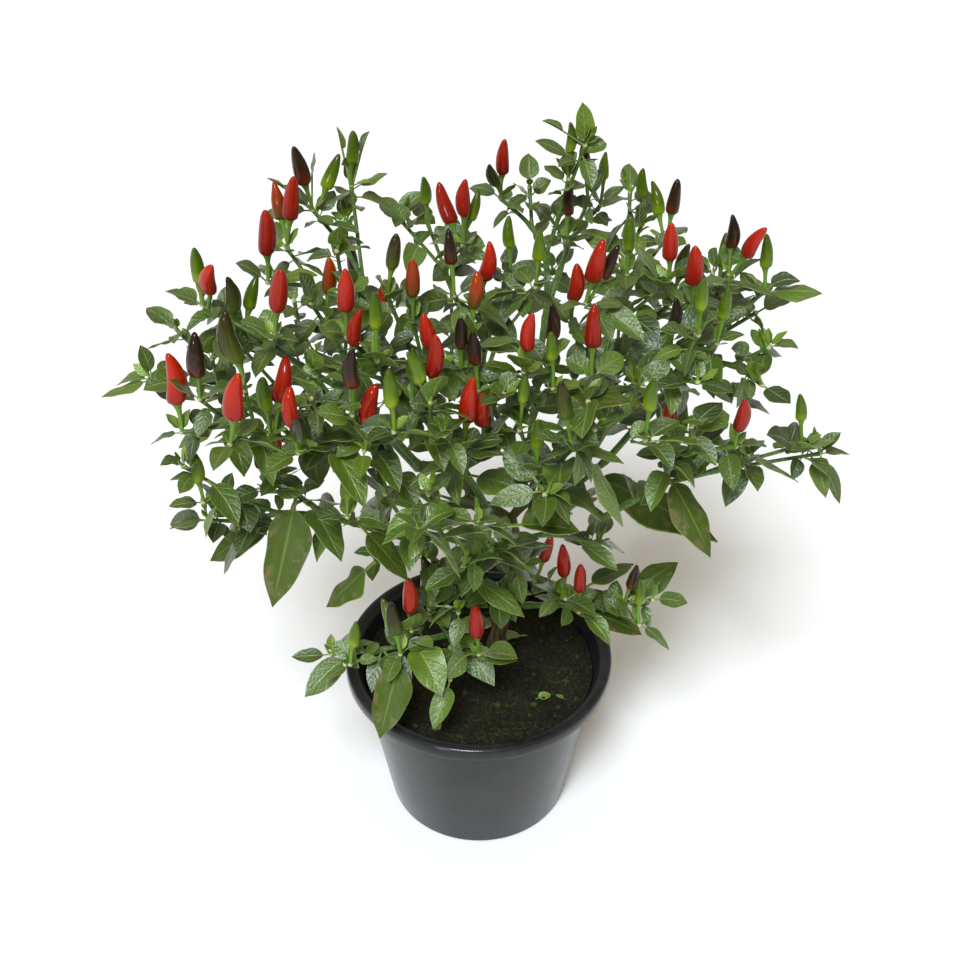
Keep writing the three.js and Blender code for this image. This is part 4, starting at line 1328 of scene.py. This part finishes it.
@dataclass
class Pod:
    """A pod on its stalk: where the stalk starts, which way it stands, and its sizes."""

    bough: object
    root: Vector
    stand: Vector
    kind: str
    size: float
    stalk: float
    seed: tuple
    node: str = None

    @property
    def foot(self):
        return self.root + self.stand * (self.stalk + SEAT_GAP)


def pod_of(bough, sprig, k, kind, attempt):
    """The first pod of a sprig is nearly upright, and the others lean round it."""
    low, high = UPRIGHT if k == 0 else LEANING
    turn = between(0, 2 * math.pi, sprig.order, k, 11) + TURN_STEP * attempt
    tilt = math.radians(between(low, high, sprig.order, k, 12) + TILT_STEP * attempt)
    aside = math.sin(tilt)
    stand = Vector((aside * math.cos(turn), aside * math.sin(turn), math.cos(tilt)))
    size = POD_SCALE[kind] * sprig.growth * between(*SIZE_SPREAD, sprig.order, k, 13)
    stalk = STALK_LENGTH * between(*STALK_SPREAD, sprig.order, k, 14)
    root = sprig.point - sprig.along * NODE_STEP * k
    return Pod(bough, root, stand, kind, size, stalk, (sprig.order, k))


def pod_in_frame(node):
    """A ripe pod's foot and tip in mm, from its own solid. The tip is the corner furthest out."""
    corners = np.unique(np.round(places_of(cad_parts[node]) / MM, 3), axis=0)
    tip = corners[np.argmax(np.linalg.norm(corners - corners.mean(0), axis=1))]
    furthest = np.argsort(np.linalg.norm(corners - tip, axis=1))[-TIP_CORNERS:]
    return Vector(corners[furthest].mean(0)), Vector(tip)


def balls(pod):
    """The centres and radii of four balls that fill a pod, in mm."""
    centres = [pod.foot + pod.stand * POD_LENGTH * pod.size * share for share in BALL_SHARES]
    return np.array(centres), POD_RADIUS * pod.size * BALL_RADII


def clear_by(pod, others):
    """The least room between a pod and the others, in mm."""
    centres, radii = balls(pod)
    room = NOTHING_NEAR
    for other in others:
        spots, sizes = balls(other)
        apart = np.linalg.norm(centres[:, None] - spots, axis=2) - radii[:, None] - sizes
        room = min(room, apart.min())
    return room


# %% Placing the pods
sites = [
    (bough, sprig, k, kind)
    for bough in boughs for sprig in bough.sprigs for k, kind in enumerate(sprig.pods)]
pods = []
for node in sorted(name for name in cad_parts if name.startswith("pod_ripe")):
    foot, tip = pod_in_frame(node)
    stand = (tip - foot).normalized()

    def miss(site):
        """How far this pod's stalk would start from that site's own root."""
        pod = pod_of(*site, 0)
        return (foot - stand * (pod.stalk + SEAT_GAP) - pod.root).length

    site = min((site for site in sites if site[3] == "r"), key=miss)
    sites.remove(site)
    size = (tip - foot).length / POD_LENGTH
    pods.append(replace(pod_of(*site, 0), stand=stand, size=size, node=node))
for site in sites:
    tries = [pod_of(*site, attempt) for attempt in range(ATTEMPTS)]
    clear = [pod for pod in tries if clear_by(pod, pods) > 0]
    if clear:
        pods.append(clear[0])
print(len(pods), "pods,", sum(pod.node is not None for pod in pods), "ripe ones in the frame")

# %% Buds
# A twig with no pod often carries a few flower buds or pods that have only just set.
BUD_SEED = 40
MOST_BUDS = 2.4
BUD_SIZE = (0.12, 0.3)
BUD_STALK = (6, 10)
for bough in boughs:
    for sprig in bough.sprigs:
        wanted = 0 if sprig.pods else round(between(0, MOST_BUDS, sprig.order, BUD_SEED, 1))
        for k in range(BUD_SEED, BUD_SEED + wanted):
            bud = pod_of(bough, sprig, k, "g", 0)
            size = between(*BUD_SIZE, sprig.order, k, 15)
            stalk = between(*BUD_STALK, sprig.order, k, 16)
            pods.append(replace(bud, root=sprig.point, size=size, stalk=stalk))
print(len(pods), "pods and buds")

# %% [markdown]
# The skin of a pod is a thin wax over flesh that lets some light in. So the gloss is sharp, and
# the colour under it is deep rather than chalky. Pods ripen from green through brown-black to
# red, starting low on the pod, so each finish has a foot, a body and a tip colour.


# %% Pod skins
CLOUD_SIZE = 12
DIMPLE_SIZE = 2.5
FOOT_STOP = 0.05
BODY_STOP = 0.4
TIP_STOP = 0.95
WAX = {
    "Roughness": 0.4, "Specular IOR Level": 0.06, "Coat Weight": 0.6, "Coat Roughness": 0.1,
    "Coat IOR": 1.42, "Subsurface Weight": 0.05, "Subsurface Radius": (0.004, 0.0015, 0.0006),
    "Subsurface Scale": 0.4,
}
SKINS = {
    "r": ("ripe_pod_wax", "#82190A", "#9E1C08", "#A82408"),
    "o": ("turning_pod_wax", "#4C3C08", "#802E04", "#983204"),
    "g": ("green_pod_wax", "#7A9210", "#506A06", "#40560A"),
    "d": ("olive_pod_wax", "#4E5E12", "#363A0A", "#2C2408"),
    "b": ("dark_pod_wax", "#5A200A", "#2E1E0C", "#22140A"),
}


def pod_skin(name, foot, body, tip):
    """A waxy skin that turns from one colour to the next up the pod, in soft clouds."""
    material, nodes = finish(name, WAX)
    place = nodes.place()
    clouds = nodes.noise(place, CLOUD_SIZE, 3.0)
    moved = nodes.maths("MULTIPLY_ADD", clouds, 0.5, nodes.attribute("along"))
    moved = nodes.maths("SUBTRACT", moved, 0.25)
    blush = nodes.ramp(moved, (FOOT_STOP, foot), (TIP_STOP, tip), (BODY_STOP, body))
    depth = nodes.span(nodes.attribute("tone"), to=(0.72, 1.12))
    shaded = nodes.add("ShaderNodeHueSaturation", {"Color": blush, "Value": depth}).outputs["Color"]
    dimples = nodes.noise(place, DIMPLE_SIZE, 3.0)
    nodes.wire({"Base Color": shaded, "Normal": nodes.bump(dimples, 0.6, 0.35)})
    return material


skins = {kind: pod_skin(*values) for kind, values in SKINS.items()}

# %% Green stems
# The skin of a young stem is fresh green with paler streaks, and the knuckles are corky cream.
STREAK = 2.5
stem_skin, nodes = finish("young_stem_skin", {"Roughness": 0.45, "IOR": 1.45})
streaks = nodes.noise(nodes.place(), STREAK, 3.0)
greens = nodes.ramp(streaks, (0.3, "#37541A"), (0.7, "#5C7A30"))
bright = nodes.blend(nodes.attribute("fresh"), greens, "#66892B")
corky = nodes.blend(nodes.attribute("scar"), bright, "#B4B180")
nodes.wire({"Base Color": corky, "Normal": nodes.bump(streaks, 0.5, 0.3)})
print("finishes", sorted(material.name for material in bpy.data.materials))


# %% One pod and one stalk
PINCH = (-0.08, 0.2)
PINCH_PLACE = 0.84
PINCH_REACH = 0.14
POD_BOW = 0.09
STALK_BOW = 0.9
THINNEST = 0.35
OVAL = 0.05
UNEVEN = 0.07
UNEVEN_REACH = 0.2


def on_line(places, foot, stand, seed, bow):
    """Carries places that stand on Z, in metres, onto a line from the foot, with a little bow."""
    length = max(places[:, 2].max(), 1e-6)
    across = frame_along(stand)
    turn = between(0, 2 * math.pi, *seed, 17)
    lean = bow * np.sin(np.pi * places[:, 2] / length)
    bent = places + lean[:, None] * np.array([math.cos(turn), math.sin(turn), 0])
    return bent @ across.T + np.array(foot) * MM


def place_pod(pod):
    """A pod's own mesh, bent and made a little uneven."""
    piece = copy_of(pod_blank, "pod")
    places = places_of(piece) * pod.size
    share = places[:, 2] / (POD_LENGTH * MM * pod.size)
    turn = np.arctan2(places[:, 1], places[:, 0])
    phase = between(0, FULL_TURN, *pod.seed, 18)
    oval = OVAL * np.cos(2 * turn + phase + 3 * share)
    uneven = oval + UNEVEN * np.cos(3 * turn - phase) * np.exp(-share / UNEVEN_REACH)
    neck = np.exp(-(((share - PINCH_PLACE) / PINCH_REACH) ** 2))
    places[:, :2] *= ((1 + uneven) * (1 - between(*PINCH, *pod.seed, 19) * neck))[:, None]
    bow = between(-POD_BOW, POD_BOW, *pod.seed, 20) * POD_LENGTH * MM * pod.size
    set_places(piece, on_line(places, pod.foot, pod.stand, pod.seed, bow))
    set_share(piece, "tone", draw(*pod.seed, 30))
    piece.data.materials.append(skins[pod.kind])
    return piece


def place_stalk(pod):
    piece = copy_of(stalk_blank, "stalk")
    places = places_of(piece)
    flare = np.clip(places[:, 2] / MM / STALK_LENGTH, 0, 1)
    places[:, :2] *= np.maximum(1 + (pod.size - 1) * flare, THINNEST)[:, None]
    places[:, 2] *= pod.stalk / STALK_LENGTH
    bow = between(-STALK_BOW, STALK_BOW, *pod.seed, 29) * MM
    set_places(piece, on_line(places, pod.root, pod.stand, pod.seed, bow))
    return piece


# %% Stems with their stalks and knuckles
obstacles = [wood, pot]
for bough in boughs:
    stems = tubes("stems", bough.paths, STEM_SIDES)
    set_share(stems, "fresh", 0)
    stalks = [place_stalk(pod) for pod in pods if pod.bough is bough]
    for stalk in stalks:
        set_share(stalk, "fresh", 1)
    joints = knuckles(bough)
    for joint in joints:
        set_share(joint, "scar", 1)
    bough.piece = join(f"{bough.name}_stems", [*stalks, *joints, stems])
    bough.piece.data.materials.clear()
    bough.piece.data.materials.append(stem_skin)
    smooth_faces(bough.piece, STEM_CREASE)
    carry(bough.piece, "stem_green", bough.name)
    obstacles.append(bough.piece)

# %% Pod pieces
SLOTS = {"r": "pod_red", "o": "pod_orange", "g": "pod_green", "d": "pod_dark", "b": "pod_dark"}
for pod in pods:
    if pod.node:
        piece = place_pod(pod)
        piece.name = pod.node.replace("pod_ripe", "ripe_pod")
        carry(piece, "pod_red", pod.node)
        obstacles.append(piece)
for bough in boughs:
    for slot in sorted(set(SLOTS.values())):
        own = [pod for pod in pods if pod.bough is bough and not pod.node]
        mine = [pod for pod in own if SLOTS[pod.kind] == slot]
        if mine:
            piece = join(f"{bough.name}_{slot}", [place_pod(pod) for pod in mine])
            carry(piece, slot)
            obstacles.append(piece)

# %% [markdown]
# ## Hanging the leaves
# Leaves that cut through a pod or through each other would look wrong from close by. So each
# leaf is first tried as a coarse blade of six faces, and turned a little at a time until it
# crosses nothing. A leaf that finds no room is left out. One that the outline needs is tried
# again at smaller sizes, and where none is free it keeps the try that crosses least.

# %% Coarse blades
COARSE_SHARES = (0.3, 0.5, 0.72, 0.97)
COARSE_WIDTH = 0.95
COARSE = np.array([
    (share * LEAF_LENGTH, side * COARSE_WIDTH * float(half_width(np.array(share))), 0)
    for share in COARSE_SHARES for side in (-1, 0, 1)]) * MM
COARSE_FACES = [
    (3 * i + j, 3 * i + j + 1, 3 * i + j + 4, 3 * i + j + 3)
    for i in range(len(COARSE_SHARES) - 1) for j in (0, 1)]


def solid_tree(pieces):
    """One search tree over the faces of several pieces."""
    corners, faces = [], []
    for piece in pieces:
        start = len(corners)
        corners += [vertex.co.copy() for vertex in piece.data.vertices]
        faces += [[start + i for i in face.vertices] for face in piece.data.polygons]
    return BVHTree.FromPolygons(corners, faces)


fixed = solid_tree(obstacles)
print("coarse blade", len(COARSE_FACES), "faces,", len(obstacles), "pieces in the way")

# %% Room for a leaf
SWING = 0.25
PLACED_SWING = 0.08
RISE_STEP = 0.06
NEAR_SHARE = 0.55
SMALLER = (1, 0.85, 0.7)
hung = []


def crossings(leaf):
    """How many faces a leaf would cut, and its search tree."""
    corners = bend(COARSE, leaf)
    blade = BVHTree.FromPolygons(corners.tolist(), COARSE_FACES)
    count = len(blade.overlap(fixed))
    centre = Vector(corners[4])
    for other, spot, reach in hung:
        if (spot - centre).length < (reach + leaf.length) * NEAR_SHARE * MM:
            count += len(blade.overlap(other))
    return count, blade, centre


def hang(leaf):
    """Turns a leaf aside until it crosses nothing. Gives None where there is no room, unless the
    leaf is kept, which takes the try that crosses least.
    """
    best = None
    step = PLACED_SWING if leaf.seed[0] >= LARGE_SEED else SWING
    sizes = SMALLER if leaf.kept else SMALLER[:1]
    for size, attempt in product(sizes, range(ATTEMPTS)):
        swing = step * math.ceil(attempt / 2) * (1 if attempt % 2 else -1)
        tried = replace(
            leaf, heading=leaf.heading + swing, rise=leaf.rise + RISE_STEP * attempt,
            length=size * leaf.length, width=size * leaf.width)
        count, blade, centre = crossings(tried)
        if best is None or count < best[0]:
            best = (count, tried, blade, centre)
        if count == 0:
            break
    count, tried, blade, centre = best
    if count and not leaf.kept:
        return None
    hung.append((blade, centre, leaf.length))
    return tried


# %% Leaves of every bough
placed = {}
lists = {bough.name: leaves_of(bough) for bough in boughs}
for rank in range(max(len(wanted) for wanted in lists.values())):
    for bough in boughs:
        if rank < len(lists[bough.name]):
            leaf = hang(lists[bough.name][rank])
            if leaf:
                placed.setdefault(bough.name, []).append(leaf)
print(sum(len(leaves) for leaves in placed.values()), "leaves hung")

# %% Leaf pieces
LOW_LEAVES = ("front", "left_shoot", "right_shoot")
LOW_TONE = 0.25
YOUTH_SPREAD = 0.35
for bough in boughs:
    copies = []
    low = LOW_TONE if bough.name in LOW_LEAVES else 0
    for leaf in placed[bough.name]:
        piece = copy_of(large_blank if leaf.large else small_blank, "leaf")
        set_places(piece, bend(places_of(piece), leaf))
        if leaf.dryness:
            piece.data.materials[0] = old_blade
        set_share(piece, "tone", min(1, draw(*leaf.seed, 31) + low))
        young = 0 if leaf.dryness else YOUTH_SPREAD * draw(*leaf.seed, 32) ** 3
        set_share(piece, "youth", max(leaf.youth, young))
        set_share(piece, "dryness", leaf.dryness)
        copies.append(piece)
    foliage = join(f"{bough.name}_leaves", copies)
    carry(foliage, "foliage")

# %% [markdown]
# ## Potting soil
# The soil is peat compost, wet and near black, settled a finger below the rim. Its surface is
# lumpy at every size. The bed is one turned solid whose top is pushed up and down by a noise,
# and the crumbs that stand out of it are small broken lumps, modelled once and copied.

# %% Soil bed
SOIL_LEVEL = 123
SOIL_LUMP = 1.6
SOIL_RINGS = 34
SOIL_TURNS = 96
SOIL_CREASE = 50
SOIL_EDGE = STEP_RADIUS - WALL - 0.9


def soil_height(x, y):
    """The height of the soil in mm: broad lumps, then clods, then crumbs."""
    broad = math.sin(x / 9 + 1) * math.cos(y / 11) + 0.6 * math.sin((x - y) / 6)
    clods = noise.noise(Vector((x, y, 0)) / 7) * 2.0 + noise.noise(Vector((x, y, 9)) / 2.6) * 1.3
    return SOIL_LEVEL + 0.8 * SOIL_LUMP * broad + clods


side = [(radius - SEAT_GAP, height + SEAT_GAP) for radius, height in reversed(INNER_WALL[1:])]
top = [(SOIL_EDGE * (1 - i / SOIL_RINGS), SOIL_LEVEL) for i in range(SOIL_RINGS + 1)]
soil = turned("soil_bed", [(0, WALL + SEAT_GAP), *side, *top], SOIL_TURNS)
places = places_of(soil)
for place in places:
    if place[2] > (SOIL_LEVEL - 0.5) * MM:
        place[2] = soil_height(place[0] / MM, place[1] / MM) * MM
set_places(soil, places)
smooth_faces(soil, SOIL_CREASE)
print("soil bed", len(soil.data.polygons), "faces")

# %% Crumbs
CRUMBS = 620
SMALLEST_CRUMB = 0.7
CRUMB_SPREAD = 2.0
CRUMB_CORNERS = (0.7, 1.25)
CRUMB_SQUASH = (0.5, 0.9)
bpy.ops.object.select_all(action="DESELECT")
bpy.ops.mesh.primitive_ico_sphere_add(subdivisions=1, radius=MM)
crumb_blank = bpy.context.object
crumbs = []
for i in range(CRUMBS):
    radius = SOIL_EDGE * math.sqrt(draw(i, 0, 1)) * 0.98
    turn = between(0, 2 * math.pi, i, 0, 2)
    x, y = radius * math.cos(turn), radius * math.sin(turn)
    size = SMALLEST_CRUMB + CRUMB_SPREAD * draw(i, 0, 3) ** 4
    piece = copy_of(crumb_blank, "crumb")
    places = places_of(piece)
    for j, place in enumerate(places):
        place *= size * between(*CRUMB_CORNERS, i, j, 4)
    places[:, 2] *= between(*CRUMB_SQUASH, i, 0, 5)
    places = places @ frame_along((draw(i, 0, 6) - 0.5, draw(i, 0, 7) - 0.5, 1)).T
    set_places(piece, places + np.array((x, y, soil_height(x, y) + 0.25 * size)) * MM)
    set_share(piece, "moss", draw(i, 0, 8) ** 2)
    crumbs.append(piece)
crumbs = join("soil_crumbs", crumbs)
print(CRUMBS, "crumbs")

# %% [markdown]
# Peat is matt and almost black when wet. Moss and rotting bark show on it as red-brown and
# olive specks in loose patches. The patches follow a broad noise and the specks a fine one.

# %% Wet peat
GRIT_SIZE = 3
PATCH_SIZE = 30
SPECK_SIZE = 2.2
HUE_SIZE = 18
peat, nodes = finish("wet_peat", {"Roughness": 0.85, "IOR": 1.4, "Specular IOR Level": 0.3})
place = nodes.place()
grit = nodes.noise(place, GRIT_SIZE, 6.0, Roughness=0.7)
patches = nodes.span(nodes.noise(place, PATCH_SIZE, 2.0), 0.42, 0.65)
specks = nodes.span(nodes.noise(place, SPECK_SIZE, 3.0), 0.52, 0.66)
mossy = nodes.maths("MULTIPLY_ADD", patches, specks, nodes.attribute("moss"))
earth = nodes.ramp(grit, (0.35, "#0D0E09"), (0.75, "#2B2A1A"))
moss = nodes.ramp(nodes.noise(place, HUE_SIZE, 2.0), (0.42, "#40301A"), (0.58, "#3A4A1C"))
nodes.wire({"Base Color": nodes.blend(mossy, earth, moss), "Normal": nodes.bump(grit, 1.0, 1.0)})
for piece, replaced in ((soil, ["soil"]), (crumbs, [])):
    piece.data.materials.append(peat)
    carry(piece, "soil", *replaced)

# %% [markdown]
# ## Fallen scraps
# A few bits of leaf lie on the soil. They use the same blade, laid flat and a little curled.

# %% Scraps of leaf
# x, y, length and heading. They lie on the crumbs, a little above the soil.
SCRAPS = [(42, -38, 13, 0.5), (64, -36, 9, 2.6), (-32, -68, 9, 0.9), (37, 27, 28, 3.3)]
SCRAP_RISE = 3
SCRAP_TURNS = {"rise": 0.1, "droop": 0.12, "roll": 0.2}
SCRAP_SHARES = {"tone": 0.7, "youth": 0.45, "dryness": 0.2}
scraps = []
for i, (x, y, length, heading) in enumerate(SCRAPS):
    base = Vector((x, y, soil_height(x, y) + SCRAP_RISE))
    scrap = Leaf(base, heading, length=length, width=length / 2, seed=(i, 77), **SCRAP_TURNS)
    piece = copy_of(small_blank, "scrap")
    set_places(piece, bend(places_of(piece), scrap))
    for name, value in SCRAP_SHARES.items():
        set_share(piece, name, value)
    scraps.append(piece)
carry(join("leaf_scraps", scraps), "foliage")

# %% [markdown]
# ## Finish
# The blanks were only patterns, so they go.

# %% Clear away
for blank in (knuckle_blank, small_blank, large_blank, pod_blank, stalk_blank, crumb_blank):
    bpy.data.objects.remove(blank)
